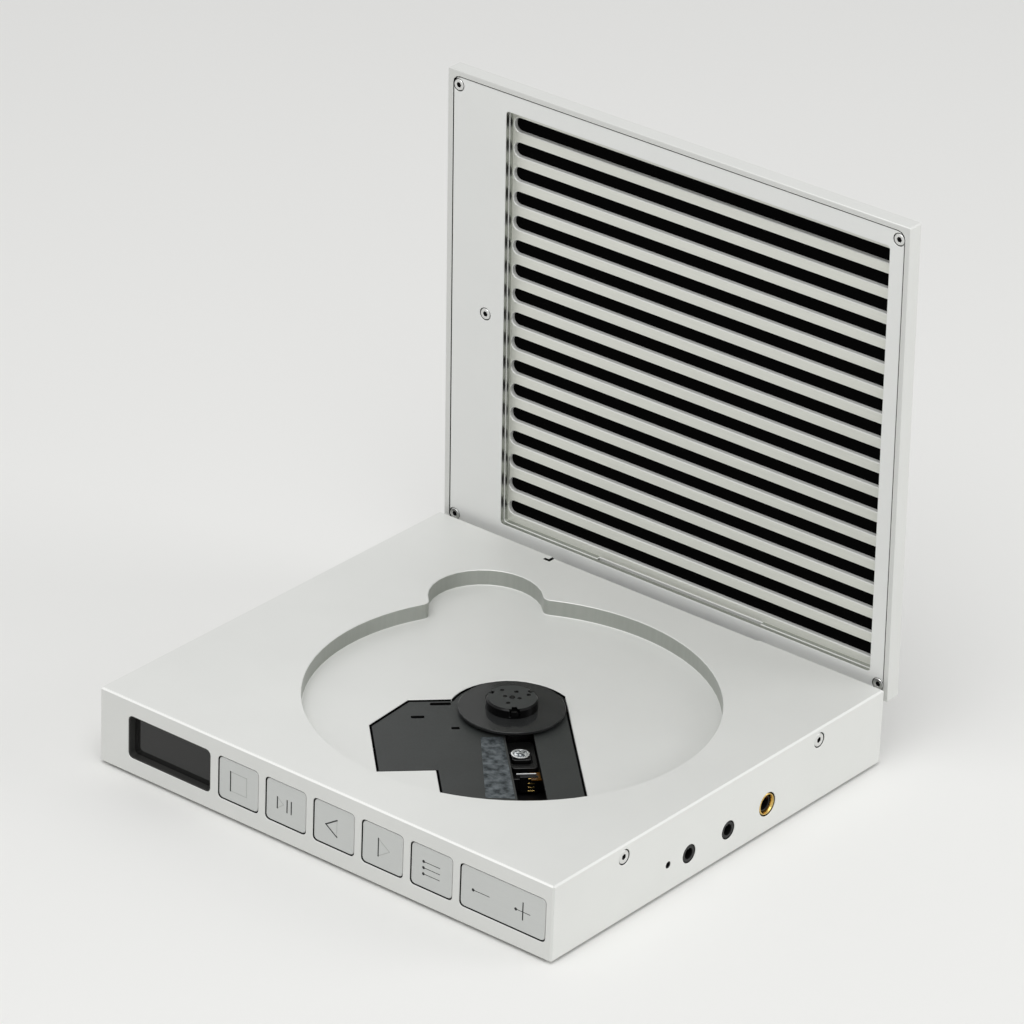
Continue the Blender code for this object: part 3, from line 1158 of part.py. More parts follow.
def build_spindle(drive, spindle, steel, dark_plastic):
    """The spindle motor, and the turntable whose shaft runs in it."""
    motor_top = MOTOR_BOTTOM + MOTOR_HEIGHT
    bore_end = motor_top - SHAFT_ENGAGEMENT - SEAT_GAP
    bore_radius = SHAFT_RADIUS + RUNNING_GAP
    can = [(0, MOTOR_BOTTOM), (MOTOR_RADIUS, MOTOR_BOTTOM), (MOTOR_RADIUS, motor_top), (bore_radius, motor_top),
           (bore_radius, bore_end), (0, bore_end)]
    piece("spindle_motor", turned(can, ROUND_STEPS), steel, drive)
    hub_top = HUB_HEIGHT
    shaft_end = motor_top - SHAFT_ENGAGEMENT - TABLE_TOP
    table = [(0, shaft_end), (SHAFT_RADIUS, shaft_end), (SHAFT_RADIUS, -TABLE_THICKNESS)]
    table += [(TABLE_RADIUS, -TABLE_THICKNESS), (TABLE_RADIUS, 0), (HUB_RADIUS, 0)]
    table += [(HUB_RADIUS, hub_top - HUB_CHAMFER), (HUB_RADIUS - HUB_CHAMFER, hub_top)]
    table += [(HUB_TIP_RADIUS, hub_top), (HUB_TIP_RADIUS, hub_top + HUB_TIP_HEIGHT)]
    table += [(0, hub_top + HUB_TIP_HEIGHT)]
    turntable = piece("turntable", turned(table, ROUND_STEPS), dark_plastic, spindle)
    for i in range(HUB_HOLE_COUNT):
        angle = math.tau * (i + 0.5) / HUB_HOLE_COUNT
        place = (HUB_HOLE_CIRCLE * math.cos(angle), HUB_HOLE_CIRCLE * math.sin(angle))
        cut(turntable, rod(place, HUB_HOLE_RADIUS, hub_top - HUB_HOLE_DEPTH, hub_top + OVERRUN, TINY_STEPS))
    claw_low = CLAW_BASE + SEAT_GAP
    for number in range(1, CLAW_COUNT + 1):
        angle = math.tau * (number - 1) / CLAW_COUNT
        turn = Matrix.Rotation(angle, 4, "Z")
        half = CLAW_WIDTH / 2
        room_inner = CLAW_INNER - CLAW_TRAVEL - RUNNING_GAP
        room_half = half + SLIDE_GAP
        room_span = (room_inner, HUB_RADIUS + OVERRUN)
        room = block(room_span, (-room_half, room_half), (CLAW_BASE, hub_top + OVERRUN))
        bmesh.ops.transform(room, matrix=turn, verts=room.verts)
        cut(turntable, room)
        claw = block((0, HUB_RADIUS + CLAW_PROUD - CLAW_INNER), (-half, half), (0, CLAW_HEIGHT))
        place = turn @ Vector((CLAW_INNER, 0, claw_low))
        piece(f"disc_claw_{number}", claw, dark_plastic, spindle, place, angle)


def sled_rack():
    """The rack's outline beside the sled, in the sled's frame."""
    pitch = math.pi * RACK_MODULE
    tip = RACK_LINE - TOOTH_TIP_SHARE * RACK_MODULE
    root = RACK_LINE + TOOTH_ROOT_SHARE * RACK_MODULE
    wide = pitch * TOOTH_WIDTH_SHARE
    narrow = pitch * TOOTH_TOP_SHARE
    last = GEAR_PLACE - LENS_REST_RADIUS + pitch
    first = last - pitch * (RACK_TEETH - 1)
    points = []
    for i in range(RACK_TEETH):
        middle = first + pitch * i
        points += [(middle - wide / 2, root), (middle - narrow / 2, tip), (middle + narrow / 2, tip),
                   (middle + wide / 2, root)]
    inner = -ROD_SPREAD - BUSH_HALF + FUSE_DEPTH
    return [(first - pitch / 2, inner), (first - pitch / 2, root)] + points + [(last + pitch / 2, root),
                                                                               (last + pitch / 2, inner)]


def build_pickup(drive, sled, plastic, steel, glass, amber):
    """The pickup sled with its rack, the two rods, the lens holder, lens and flex."""
    slab = block((-SLED_BACK, SLED_FRONT), (-SLED_HALF, SLED_HALF), (SLED_BOTTOM, SLED_TOP))
    body = piece("pickup_sled", slab, plastic, sled)
    bush = (-BUSH_LENGTH / 2, BUSH_LENGTH / 2)
    for side in (-1, 1):
        v = sorted((side * (SLED_HALF - FUSE_DEPTH), side * (ROD_SPREAD + BUSH_HALF)))
        fuse(body, block(bush, v, (ROD_HEIGHT - BUSH_HALF, ROD_HEIGHT + BUSH_HALF)))
        cut(body, rod((side * ROD_SPREAD, ROD_HEIGHT), ROD_RADIUS + RUNNING_GAP, bush[0] - OVERRUN,
                      bush[1] + OVERRUN, SMALL_STEPS, "X"))
    fuse(body, prism(sled_rack(), RACK_BOTTOM, RACK_TOP))
    side = (PICKUP_SLOT_LOW + SLIDE_GAP, PICKUP_SLOT_HIGH - SLIDE_GAP)
    housing = rounded((-HOUSING_BACK, HOUSING_FRONT), side, HOUSING_CORNER)
    fuse(body, prism(housing, SLED_TOP - FUSE_DEPTH, HOUSING_TOP))
    half = HOLDER_SIDE / 2
    room = half + HOLDER_CLEARANCE
    pit = HOLDER_BOTTOM - FOCUS_TRAVEL - SEAT_GAP
    cut(body, prism(rounded((-room, room), (-half, room), HOLDER_CORNER), pit, HOUSING_TOP + OVERRUN))
    holder_side = (-half + HOLDER_CLEARANCE, half)
    outline = rounded((-half, half), holder_side, HOLDER_CORNER)
    holder = piece("lens_holder", prism(outline, HOLDER_BOTTOM, HOLDER_TOP), plastic, sled)
    cut(holder, rod((0, 0), LENS_RADIUS / 2, HOLDER_BOTTOM - OVERRUN, HOLDER_TOP + OVERRUN))
    low = HOLDER_TOP + SEAT_GAP
    lens = [(0, low), (LENS_RADIUS, low), (LENS_RADIUS, low + LENS_EDGE)]
    lens += [(LENS_RADIUS / 2, low + LENS_SHOULDER), (0, low + LENS_DOME)]
    piece("objective_lens", turned(lens, SMALL_STEPS), glass, sled)
    flex_low = SLED_TOP + SEAT_GAP
    flex_start = HOUSING_FRONT + SEAT_GAP
    bend = flex_start + FLEX_LENGTH / 2
    flex_end = flex_start + FLEX_LENGTH
    flex_top = flex_low + FLEX_THICKNESS
    strip = [(flex_start, flex_low), (bend, flex_low), (flex_end, flex_low + FLEX_RISE),
             (flex_end, flex_top + FLEX_RISE), (bend, flex_top), (flex_start, flex_top)]
    piece("pickup_flex", prism(strip, FLEX_SIDE - FLEX_WIDTH / 2, FLEX_SIDE + FLEX_WIDTH / 2, "Y"), amber, sled)
    for number, v in enumerate((-ROD_SPREAD, ROD_SPREAD), 1):
        span = (ROD_START + SEAT_GAP, ROD_END - SEAT_GAP)
        guide = rod((0, 0), ROD_RADIUS, *span, SMALL_STEPS, "X")
        piece(f"guide_rod_{number}", guide, steel, drive, (0, v, ROD_HEIGHT))


def build_sled_drive(drive, plastic, steel):
    """The compound gear on its axle, and the sled motor with its pinion."""
    gear_axis = empty("gear_axis", drive, (GEAR_PLACE, GEAR_SIDE, 0))
    gap_phase = math.pi / 2 + math.pi / GEAR_TEETH
    wheel_teeth = gear_outline((0, 0), WHEEL_TEETH, WHEEL_MODULE, PINION_ANGLE)
    wheel = piece("drive_gear", prism(wheel_teeth, WHEEL_BOTTOM, WHEEL_TOP), plastic, gear_axis)
    rack_side = gear_outline((0, 0), GEAR_TEETH, RACK_MODULE, gap_phase)
    fuse(wheel, prism(rack_side, WHEEL_TOP - FUSE_DEPTH, GEAR_TOP))
    cut(wheel, rod((0, 0), GEAR_AXLE_RADIUS + RUNNING_GAP, WHEEL_BOTTOM - OVERRUN, GEAR_TOP + OVERRUN))
    pinion_axis = empty("pinion_axis", drive, (PINION_PLACE, PINION_SIDE, 0))
    motor_top = CHASSIS_BOTTOM - SEAT_GAP
    motor_low = COVER_THICKNESS + SLED_MOTOR_TO_COVER
    shaft_depth = SLED_SHAFT_SHARE * (motor_top - motor_low)
    bore = SLED_SHAFT_RADIUS + RUNNING_GAP
    bore_end = motor_top - shaft_depth - SEAT_GAP
    can = [(0, motor_low), (SLED_MOTOR_RADIUS, motor_low), (SLED_MOTOR_RADIUS, motor_top), (bore, motor_top),
           (bore, bore_end), (0, bore_end)]
    piece("sled_motor", turned(can, ROUND_STEPS), steel, pinion_axis)
    toward = PINION_ANGLE - math.pi + math.pi / PINION_TEETH
    pinion_teeth = gear_outline((0, 0), PINION_TEETH, WHEEL_MODULE, toward)
    pinion = piece("motor_pinion", prism(pinion_teeth, WHEEL_BOTTOM, WHEEL_TOP), steel, pinion_axis)
    shaft = (motor_top - shaft_depth, WHEEL_BOTTOM + FUSE_DEPTH)
    fuse(pinion, rod((0, 0), SLED_SHAFT_RADIUS, *shaft, TINY_STEPS))


def build_player():
    """Every piece, from the case outwards."""
    clear_scene()
    blasted = material("blasted_aluminium", "DADBD8", 0.45, 1.0)
    key_metal = material("key_aluminium", "BFC1BF", 0.40, 1.0)
    dark_metal = material("dark_coated_steel", "464847", 0.50, 0.3)
    dark_plastic = material("dark_plastic", "2E2F30", 0.45, 0.0)
    black = material("black_plastic", "151516", 0.40, 0.0)
    steel = material("bright_steel", "B8B9BA", 0.30, 1.0)
    gold = material("gold_plate", "E0B450", 0.25, 1.0)
    rubber = material("black_rubber", "1E1E1E", 0.80, 0.0)
    glass = material("tinted_window", "2A2A29", 0.10, 0.0)
    clear = material("lens_glass", "D8DCE4", 0.05, 0.0)
    board = material("circuit_board", "1F4A36", 0.55, 0.0)
    wrap = material("battery_wrap", "3A3F48", 0.50, 0.0)
    amber = material("amber_flex", "B4711F", 0.40, 0.0)

    frame = empty("case_frame", None, (0, -BOX_MIDDLE_Y, FOOT_HEIGHT))
    build_case(frame, blasted)
    build_bottom(frame, blasted, rubber)
    build_side_screws(frame, steel)
    build_sockets(frame, black, gold, steel)
    build_boards(frame, board, wrap)
    build_display(frame, black, glass)
    build_key_board(frame, board)
    build_keys(frame, key_metal)
    place_case_magnets(frame, steel)

    pivot = empty("lid_pivot", frame, (0, HINGE_Y, HINGE_Z), -LID_OPEN_ANGLE, "X")
    build_lid(pivot, blasted, steel)
    build_hinge(frame, pivot, steel)

    drive = empty("drive_frame", frame, (WELL_OFFSET_X, 0, 0), DRIVE_TURN)
    spindle = empty("spindle_axis", drive, (0, 0, TABLE_TOP))
    sled = empty("sled_axis", drive, (LENS_REST_RADIUS, 0, 0))
    build_chassis(drive, black, rubber)
    build_drive_cover(drive, dark_metal)
    build_spindle(drive, spindle, steel, dark_plastic)
    build_pickup(drive, sled, black, steel, clear, amber)
    build_sled_drive(drive, black, steel)
    bpy.context.view_layer.update()


build_player()
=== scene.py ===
import math

import bmesh
import bpy
from mathutils import Matrix, Vector


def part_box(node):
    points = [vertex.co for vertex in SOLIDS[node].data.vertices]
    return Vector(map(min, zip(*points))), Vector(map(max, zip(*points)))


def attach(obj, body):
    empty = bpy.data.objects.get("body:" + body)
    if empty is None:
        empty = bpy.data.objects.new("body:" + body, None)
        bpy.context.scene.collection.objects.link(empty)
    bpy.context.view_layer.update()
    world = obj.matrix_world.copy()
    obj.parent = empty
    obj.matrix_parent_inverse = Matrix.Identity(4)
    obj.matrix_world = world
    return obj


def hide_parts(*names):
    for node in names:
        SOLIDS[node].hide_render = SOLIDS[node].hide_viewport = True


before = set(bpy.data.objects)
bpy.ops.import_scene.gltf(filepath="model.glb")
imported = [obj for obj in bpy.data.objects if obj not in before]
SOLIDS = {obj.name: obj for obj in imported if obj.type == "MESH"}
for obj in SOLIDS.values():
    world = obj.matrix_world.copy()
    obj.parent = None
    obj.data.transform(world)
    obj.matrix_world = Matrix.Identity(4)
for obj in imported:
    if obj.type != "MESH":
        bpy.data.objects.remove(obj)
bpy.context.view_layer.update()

MM = 0.001
SIDEWAYS, FORWARD, UPWARD = Vector((1, 0, 0)), Vector((0, 1, 0)), Vector((0, 0, 1))

# The case: its faces and levels
CASE_LOW, CASE_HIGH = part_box("upper_case")
CASE_FRONT = CASE_LOW.y
CASE_SIDE = CASE_HIGH.x
DECK_TOP = CASE_HIGH.z
WELL_FLOOR = DECK_TOP - 5.2 * MM
WELL_FLOOR_PLATE = 1.2 * MM
CASE_WALL = 2.0 * MM
RELIEF_START = 60 * MM
RELIEF_LEVEL = 21.25 * MM
HATCH_REACH = 61.5 * MM
JACK_LEVEL = 9.5 * MM
JACK_REACH = 60 * MM
COVER_REACH = 3 * MM
SOCKET_LEVEL = 9.2 * MM

# The spindle, and the drive unit that is turned under the well
SPINDLE = Vector((6.9 * MM, -3.653 * MM, 0))
DRIVE_TURN = -45
DRIVE = Matrix.Translation(SPINDLE) @ Matrix.Rotation(math.radians(DRIVE_TURN), 4, "Z")

# The lid: its hinge line and its turn, so that lid pieces can be drawn closed
HINGE = Vector((0, 72.197 * MM, 21.9 * MM))
LID_TURN = math.radians(-88.2)
LID = Matrix.Translation(HINGE) @ Matrix.Rotation(LID_TURN, 4, "X")
LID_SEAT = 5.8 * MM
SLAT_FACE = 7.4 * MM
LID_BACK = 9.3 * MM
LID_RIM_SIDE = 84.5 * MM
LID_RIM_ENDS = (-152.5 * MM, 1 * MM)
LID_MIDDLE = 7.7 * MM
SCREW_ROWS = (-3.1 * MM, -148.6 * MM)
WINDOW_SIDES = (-64 * MM, 79.4 * MM)
WINDOW_ENDS = (-147 * MM, -5 * MM)
WINDOW_MIDDLE = -75.85 * MM
SLOT_COUNT = 17
SLOT_PITCH = 8.1 * MM
SLOT_HEIGHT = 4.7 * MM
SLOT_ENDS = (-62.6 * MM, 78.0 * MM)

# The key row
KEY_ROW = 13.15 * MM
KEY_REACH = 7.5 * MM
MARK_MIDDLE = KEY_ROW - 0.2 * MM
KEY_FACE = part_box("key_play")[0].y
KEY_NAMES = ("stop", "play", "previous", "next", "list")

# Limits that sort edges, faces and points
SHARP = math.radians(50)
CREASE = math.radians(32)
BEND = math.radians(0.7)
SAME_PLANE = math.radians(0.6)
SLANT = 0.3
LEVEL_FACE = 0.7
LARGE_FACE = 40 * MM ** 2
CHAMFER_WIDTH = 1.5 * MM
CHAMFER_FACE = 20 * MM ** 2
SMALL_WALL = 12 * MM ** 2
ON_FACE = 1 * MM
SAME_FACE = 0.1 * MM
SAME_LEVEL = 0.01 * MM
SAME_POINT = 0.0005 * MM
WELD = 0.001 * MM

# Widths of the broken edges
CASE_EDGE = 0.18 * MM
SHEET_EDGE = 0.2 * MM
LID_PLATE_EDGE = 0.12 * MM
KEY_EDGE = 0.16 * MM
PLASTIC_EDGE = 0.12 * MM
COVER_EDGE = 0.08 * MM

# Patterns of the blasted metal
BEAD_MARK = 0.35 * MM
CLOUD = 30 * MM


def linear(hex_colour):
    """An sRGB hex colour as linear red, green, blue and a full alpha."""
    values = [int(hex_colour[i:i + 2], 16) / 255 for i in (0, 2, 4)]
    return [v / 12.92 if v <= 0.04045 else ((v + 0.055) / 1.055) ** 2.4 for v in values] + [1]


def add_node(finish, kind, settings, inputs):
    """Add one node to a finish, with its settings, and its inputs as values or as links."""
    node = finish.node_tree.nodes.new(kind)
    for name, value in settings.items():
        setattr(node, name, value)
    for name, value in inputs.items():
        if isinstance(value, bpy.types.Node):
            value = value.outputs[0]
        if isinstance(value, bpy.types.NodeSocket):
            finish.node_tree.links.new(value, node.inputs[name])
        else:
            node.inputs[name].default_value = value
    return node


def new_finish(name):
    """An empty finish, and the place of each point on its piece in metres."""
    finish = bpy.data.materials.new(name)
    finish.use_nodes = True
    finish.node_tree.nodes.clear()
    place = add_node(finish, "ShaderNodeTexCoord", {}, {}).outputs["Object"]
    return finish, place


# The clear oxide on blasted aluminium scatters most light: only this share mirrors as bare metal does.
OXIDE_MIRROR = 0.15
BARE_METAL = 1.0


def surface(finish, tone, colours, grain, rough, relief, shader):
    """Two colours mixed by one pattern, with roughness and relief from another, on one shader.

    Rough is the least and the greatest roughness. Relief is its strength and depth, or nothing.
    """
    dark, light = colours
    colour = add_node(finish, "ShaderNodeMix", {"data_type": "RGBA"},
                      {"Factor": tone, 6: linear(dark), 7: linear(light)})
    roughness = add_node(finish, "ShaderNodeMapRange", {},
                         {"Value": grain, "To Min": rough[0], "To Max": rough[1]})
    look = {"Base Color": colour.outputs[2], "Roughness": roughness}
    if relief:
        look["Normal"] = add_node(finish, "ShaderNodeBump", {},
                                  {"Height": grain, "Strength": relief[0], "Distance": relief[1]})
    principled = add_node(finish, "ShaderNodeBsdfPrincipled", {}, {**shader, **look})
    add_node(finish, "ShaderNodeOutputMaterial", {}, {"Surface": principled})
    return finish


def blasted_aluminium(name, dark, light, rough):
    """Bead-blasted aluminium, clear anodised: an even, matt silver with a soft grain."""
    finish, place = new_finish(name)
    # Bead marks are about 0.1 mm; drawn at 0.35 mm so that they show as a soft grain.
    beads = add_node(finish, "ShaderNodeTexNoise", {}, {"Vector": place, "Scale": 1 / BEAD_MARK})
    clouds = add_node(finish, "ShaderNodeTexNoise", {}, {"Vector": place, "Scale": 1 / CLOUD, "Detail": 3.0})
    return surface(finish, clouds, (dark, light), beads, (rough - 0.04, rough + 0.04), (0.5, 0.012 * MM),
                   {"Metallic": OXIDE_MIRROR})


def linished_aluminium():
    """The case: bead blasted all over, with its front drawn over a belt, which leaves faint long lines."""
    finish, place = new_finish("linished_aluminium")
    beads = add_node(finish, "ShaderNodeTexNoise", {}, {"Vector": place, "Scale": 1 / BEAD_MARK})
    clouds = add_node(finish, "ShaderNodeTexNoise", {}, {"Vector": place, "Scale": 1 / CLOUD, "Detail": 3.0})
    # Belt lines are about 0.05 mm apart; drawn 0.3 mm apart and about 20 mm long.
    along = add_node(finish, "ShaderNodeMapping", {},
                     {"Vector": place, "Scale": (1 / (20 * MM), 1 / (20 * MM), 1 / (0.3 * MM))})
    lines = add_node(finish, "ShaderNodeTexNoise", {}, {"Vector": along, "Scale": 1.0, "Detail": 3.0})
    split = add_node(finish, "ShaderNodeSeparateXYZ", {}, {"Vector": place})
    on_front = add_node(finish, "ShaderNodeMath", {"operation": "LESS_THAN"},
                        {0: split.outputs["Y"], 1: CASE_FRONT + 0.05 * MM})
    marks = add_node(finish, "ShaderNodeMix", {"data_type": "FLOAT"},
                     {"Factor": on_front, "A": beads, "B": lines})
    return surface(finish, clouds, ("DBDCD9", "E3E4E1"), marks, (0.42, 0.54), (0.6, 0.014 * MM),
                   {"Metallic": OXIDE_MIRROR})


def milled_aluminium_painted_shade():
    """Walls cut by the side of a mill: smoother than the blasting, with upright tool bands, and darker as
    painted shade.
    """
    finish, place = new_finish("milled_aluminium_painted_shade")
    # One band for each 1.2 mm step of the cutter along the wall.
    bands = add_node(finish, "ShaderNodeMapping", {},
                     {"Vector": place, "Scale": (1 / (1.2 * MM), 1 / (1.2 * MM), 1 / (12 * MM))})
    steps = add_node(finish, "ShaderNodeTexNoise", {}, {"Vector": bands, "Scale": 1.0, "Detail": 1.0})
    # Both tones are darker than the case: painted shade on the walls.
    return surface(finish, steps, ("A4A7A2", "B0B3AE"), steps, (0.28, 0.34), (0.2, 0.004 * MM),
                   {"Metallic": BARE_METAL})


def cut_aluminium(name, dark, light):
    """Edges cut by a diamond tool after anodising: narrow, and lighter in colour than the faces beside them
    as a painted highlight.
    """
    finish, place = new_finish(name)
    # Tool marks across the edge, about 0.2 mm apart.
    marks = add_node(finish, "ShaderNodeTexNoise", {}, {"Vector": place, "Scale": 1 / (0.2 * MM)})
    return surface(finish, marks, (dark, light), marks, (0.42, 0.5), None, {"Metallic": 0.3})


def brushed_aluminium(name, dark, light, line_gap, rough):
    """Aluminium brushed from left to right and anodised: satin, with fine long lines."""
    finish, place = new_finish(name)
    # Brush lines are about 0.05 mm apart; drawn at line_gap and 14 mm long so that they show.
    along = add_node(finish, "ShaderNodeMapping", {},
                     {"Vector": place, "Scale": (1 / (14 * MM), 1 / line_gap, 1 / line_gap)})
    lines = add_node(finish, "ShaderNodeTexNoise", {}, {"Vector": along, "Scale": 1.0, "Detail": 3.0})
    return surface(finish, lines, (dark, light), lines, (rough - 0.05, rough + 0.05), (0.4, 0.008 * MM),
                   {"Metallic": 0.4})


def plated_steel(name, dark, light):
    """Turned steel with nickel plating: bright grey with faint tool marks."""
    finish, place = new_finish(name)
    # Turning marks are 0.15 mm apart, and the plating's tone drifts over 3 mm.
    marks = add_node(finish, "ShaderNodeTexNoise", {},
                     {"Vector": place, "Scale": 1 / (0.15 * MM), "Detail": 3.0})
    stains = add_node(finish, "ShaderNodeTexNoise", {}, {"Vector": place, "Scale": 1 / (3 * MM)})
    return surface(finish, stains, (dark, light), marks, (0.22, 0.38), (0.3, 0.004 * MM),
                   {"Metallic": BARE_METAL})


def coated_steel():
    """Steel sheet with a baked powder coat: dark grey, with a fine leathery skin."""
    finish, place = new_finish("powder_coated_steel")
    # The coat's orange peel is about 0.4 mm.
    skin = add_node(finish, "ShaderNodeTexNoise", {}, {"Vector": place, "Scale": 1 / (0.4 * MM)})
    clouds = add_node(finish, "ShaderNodeTexNoise", {}, {"Vector": place, "Scale": 1 / (12 * MM)})
    return surface(finish, clouds, ("2A2C2B", "323534"), skin, (0.42, 0.56), (0.35, 0.02 * MM),
                   {"IOR": 1.5, "Specular IOR Level": 0.35})


def moulded_plastic(name, dark, light, rough, sheen_level):
    """Plastic moulded in a spark-eroded tool: dull, even and finely textured."""
    finish, place = new_finish(name)
    # Spark texture is about 0.1 mm; drawn at 0.3 mm so that it shows.
    spark = add_node(finish, "ShaderNodeTexNoise", {}, {"Vector": place, "Scale": 1 / (0.3 * MM)})
    clouds = add_node(finish, "ShaderNodeTexNoise", {}, {"Vector": place, "Scale": 1 / (9 * MM)})
    return surface(finish, clouds, (dark, light), spark, (rough - 0.06, rough + 0.06), (0.35, 0.01 * MM),
                   {"IOR": 1.53, "Specular IOR Level": sheen_level})


def gold_plating(name, dark, light):
    """Hard gold or bare copper over turned brass: warm and bright, a little worn dull."""
    finish, place = new_finish(name)
    # Rubbed patches are about 0.8 mm.
    patches = add_node(finish, "ShaderNodeTexNoise", {},
                       {"Vector": place, "Scale": 1 / (0.8 * MM), "Detail": 3.0})
    return surface(finish, patches, (dark, light), patches, (0.14, 0.3), None, {"Metallic": BARE_METAL})


def silicone_rubber():
    """Black silicone rubber, pressed in a matt tool: dead black, dusty on top."""
    finish, place = new_finish("pressed_silicone_rubber")
    # Dust gathers in spots of about 0.5 mm.
    dust = add_node(finish, "ShaderNodeTexNoise", {},
                    {"Vector": place, "Scale": 1 / (0.5 * MM), "Detail": 4.0})
    return surface(finish, dust, ("161616", "232323"), dust, (0.7, 0.88), (0.4, 0.02 * MM), {"IOR": 1.42})


def smoked_acrylic():
    """Smoked acrylic, cast and polished: a dark grey pane that mirrors what is near it."""
    finish, place = new_finish("smoked_acrylic")
    # A faint haze drifts over 6 mm.
    haze = add_node(finish, "ShaderNodeTexNoise", {},
                    {"Vector": place, "Scale": 1 / (6 * MM), "Detail": 3.0})
    return surface(finish, haze, ("191918", "1F1F1E"), haze, (0.03, 0.07), None,
                   {"IOR": 1.49, "Specular IOR Level": 0.5})


def coated_lens(name, dark, light):
    """Optical glass, pressed and coated: mirror bright, with a cool bloom that varies over it."""
    finish, place = new_finish(name)
    # The bloom changes over 0.9 mm, a sixth of the lens.
    bloom = add_node(finish, "ShaderNodeTexNoise", {},
                     {"Vector": place, "Scale": 1 / (0.9 * MM), "Detail": 2.0})
    spread = add_node(finish, "ShaderNodeMapRange", {},
                      {"Value": bloom, "From Min": 0.42, "From Max": 0.58})
    return surface(finish, spread, (dark, light), bloom, (0.03, 0.1), None, {"IOR": 1.52, "Metallic": 0.75})


def circuit_board():
    """Glass-fibre board under green solder mask, its copper tracks just showing."""
    finish, place = new_finish("fibreglass_board")
    # Tracks frame fields 4.5 mm long and half as wide, because a field is half of the pattern's unit.
    tracks = add_node(finish, "ShaderNodeTexBrick", {},
                      {"Vector": place, "Scale": 1 / (9 * MM), "Color1": linear("1C5238"),
                       "Color2": linear("22603F"), "Mortar": linear("2F7A50"), "Mortar Size": 0.02})
    skin = add_node(finish, "ShaderNodeTexNoise", {}, {"Vector": place, "Scale": 1 / (0.6 * MM)})
    roughness = add_node(finish, "ShaderNodeMapRange", {}, {"Value": skin, "To Min": 0.28, "To Max": 0.42})
    relief = add_node(finish, "ShaderNodeBump", {},
                      {"Height": tracks.outputs["Fac"], "Strength": 0.4, "Distance": 0.03 * MM})
    shader = add_node(finish, "ShaderNodeBsdfPrincipled", {},
                      {"IOR": 1.5, "Base Color": tracks, "Roughness": roughness, "Normal": relief})
    add_node(finish, "ShaderNodeOutputMaterial", {}, {"Surface": shader})
    return finish


def shrunk_film():
    """PET film shrunk over a flat cell: dark blue-grey, a little wrinkled."""
    finish, place = new_finish("shrunk_pet_film")
    # Wrinkles are about 5 mm apart.
    wrinkles = add_node(finish, "ShaderNodeTexNoise", {},
                        {"Vector": place, "Scale": 1 / (5 * MM), "Detail": 3.0})
    return surface(finish, wrinkles, ("31363E", "3C424B"), wrinkles, (0.28, 0.46), (0.4, 0.08 * MM),
                   {"IOR": 1.57})


def polyimide_film():
    """Polyimide film etched with copper: clear amber with darker patches over the conductors."""
    finish, place = new_finish("etched_polyimide_film")
    # The darker patches are about 0.5 mm.
    lines = add_node(finish, "ShaderNodeTexNoise", {},
                     {"Vector": place, "Scale": 1 / (0.5 * MM), "Detail": 1.0})
    return surface(finish, lines, ("2C1A06", "7A5216"), lines, (0.18, 0.34), None, {"IOR": 1.6})


def crinkled_foil():
    """Aluminium foil tape pressed on by hand: dull blue-grey, mottled where it has creased."""
    finish, place = new_finish("crinkled_foil_tape")
    # Creases are 1 to 3 mm apart.
    creases = add_node(finish, "ShaderNodeTexNoise", {},
                       {"Vector": place, "Scale": 1 / (2.2 * MM), "Detail": 5.0})
    tone = add_node(finish, "ShaderNodeMapRange", {}, {"Value": creases, "From Min": 0.35, "From Max": 0.65})
    return surface(finish, tone, ("30363A", "767D81"), creases, (0.3, 0.6), (0.5, 0.06 * MM),
                   {"Metallic": 0.85})


def polyester_gauze_painted_shade():
    """Black polyester gauze, woven, put in the slots as painted shade for the dark seen through them: matt
    and almost black, with a fine square weave.
    """
    finish, place = new_finish("woven_gauze_painted_shade")
    # Threads are 0.1 mm apart; drawn at 0.4 mm.
    weave = add_node(finish, "ShaderNodeTexChecker", {},
                     {"Vector": place, "Scale": 1 / (0.4 * MM), "Color1": linear("040404"),
                      "Color2": linear("080808")})
    relief = add_node(finish, "ShaderNodeBump", {},
                      {"Height": weave.outputs["Fac"], "Strength": 0.3, "Distance": 0.03 * MM})
    shader = add_node(finish, "ShaderNodeBsdfPrincipled", {},
                      {"IOR": 1.3, "Specular IOR Level": 0.05, "Roughness": 0.95, "Base Color": weave,
                       "Normal": relief})
    add_node(finish, "ShaderNodeOutputMaterial", {}, {"Surface": shader})
    return finish


# Shapes

def smooth_curves(shape):
    """Shade the strips of a round wall as one curve, and keep every flat face flat."""
    bends = {edge: edge.calc_face_angle(math.pi) for edge in shape.edges}
    for edge, bend in bends.items():
        edge.smooth = bend < CREASE
    for face in shape.faces:
        curved = any(BEND < bends[edge] < CREASE for edge in face.edges)
        face.smooth = curved and face.calc_area() < LARGE_FACE


def solid_from(name, shape, finishes):
    """A piece from a shape, with flat faces crisp and round ones smooth."""
    bmesh.ops.recalc_face_normals(shape, faces=shape.faces)
    smooth_curves(shape)
    mesh = bpy.data.meshes.new(name)
    shape.to_mesh(mesh)
    shape.free()
    for finish in finishes:
        mesh.materials.append(finish)
    piece = bpy.data.objects.new(name, mesh)
    bpy.context.scene.collection.objects.link(piece)
    return piece


def fit(piece, body, slot, *stands_for):
    """Fix a piece to the body that carries it, and hide the solids that it stands for."""
    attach(piece, body)
    if stands_for:
        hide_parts(*stands_for)
    return piece


def strip_width(face):
    """The mean width of a long narrow face."""
    return face.calc_area() / max(edge.calc_length() for edge in face.edges)


def slanted(face):
    """True for a face that looks along none of the three main directions."""
    return sorted(abs(v) for v in face.normal)[1] > SLANT


def is_sharp(edge):
    """True where two faces meet at a clear corner."""
    return len(edge.link_faces) == 2 and edge.calc_face_angle(0) > SHARP


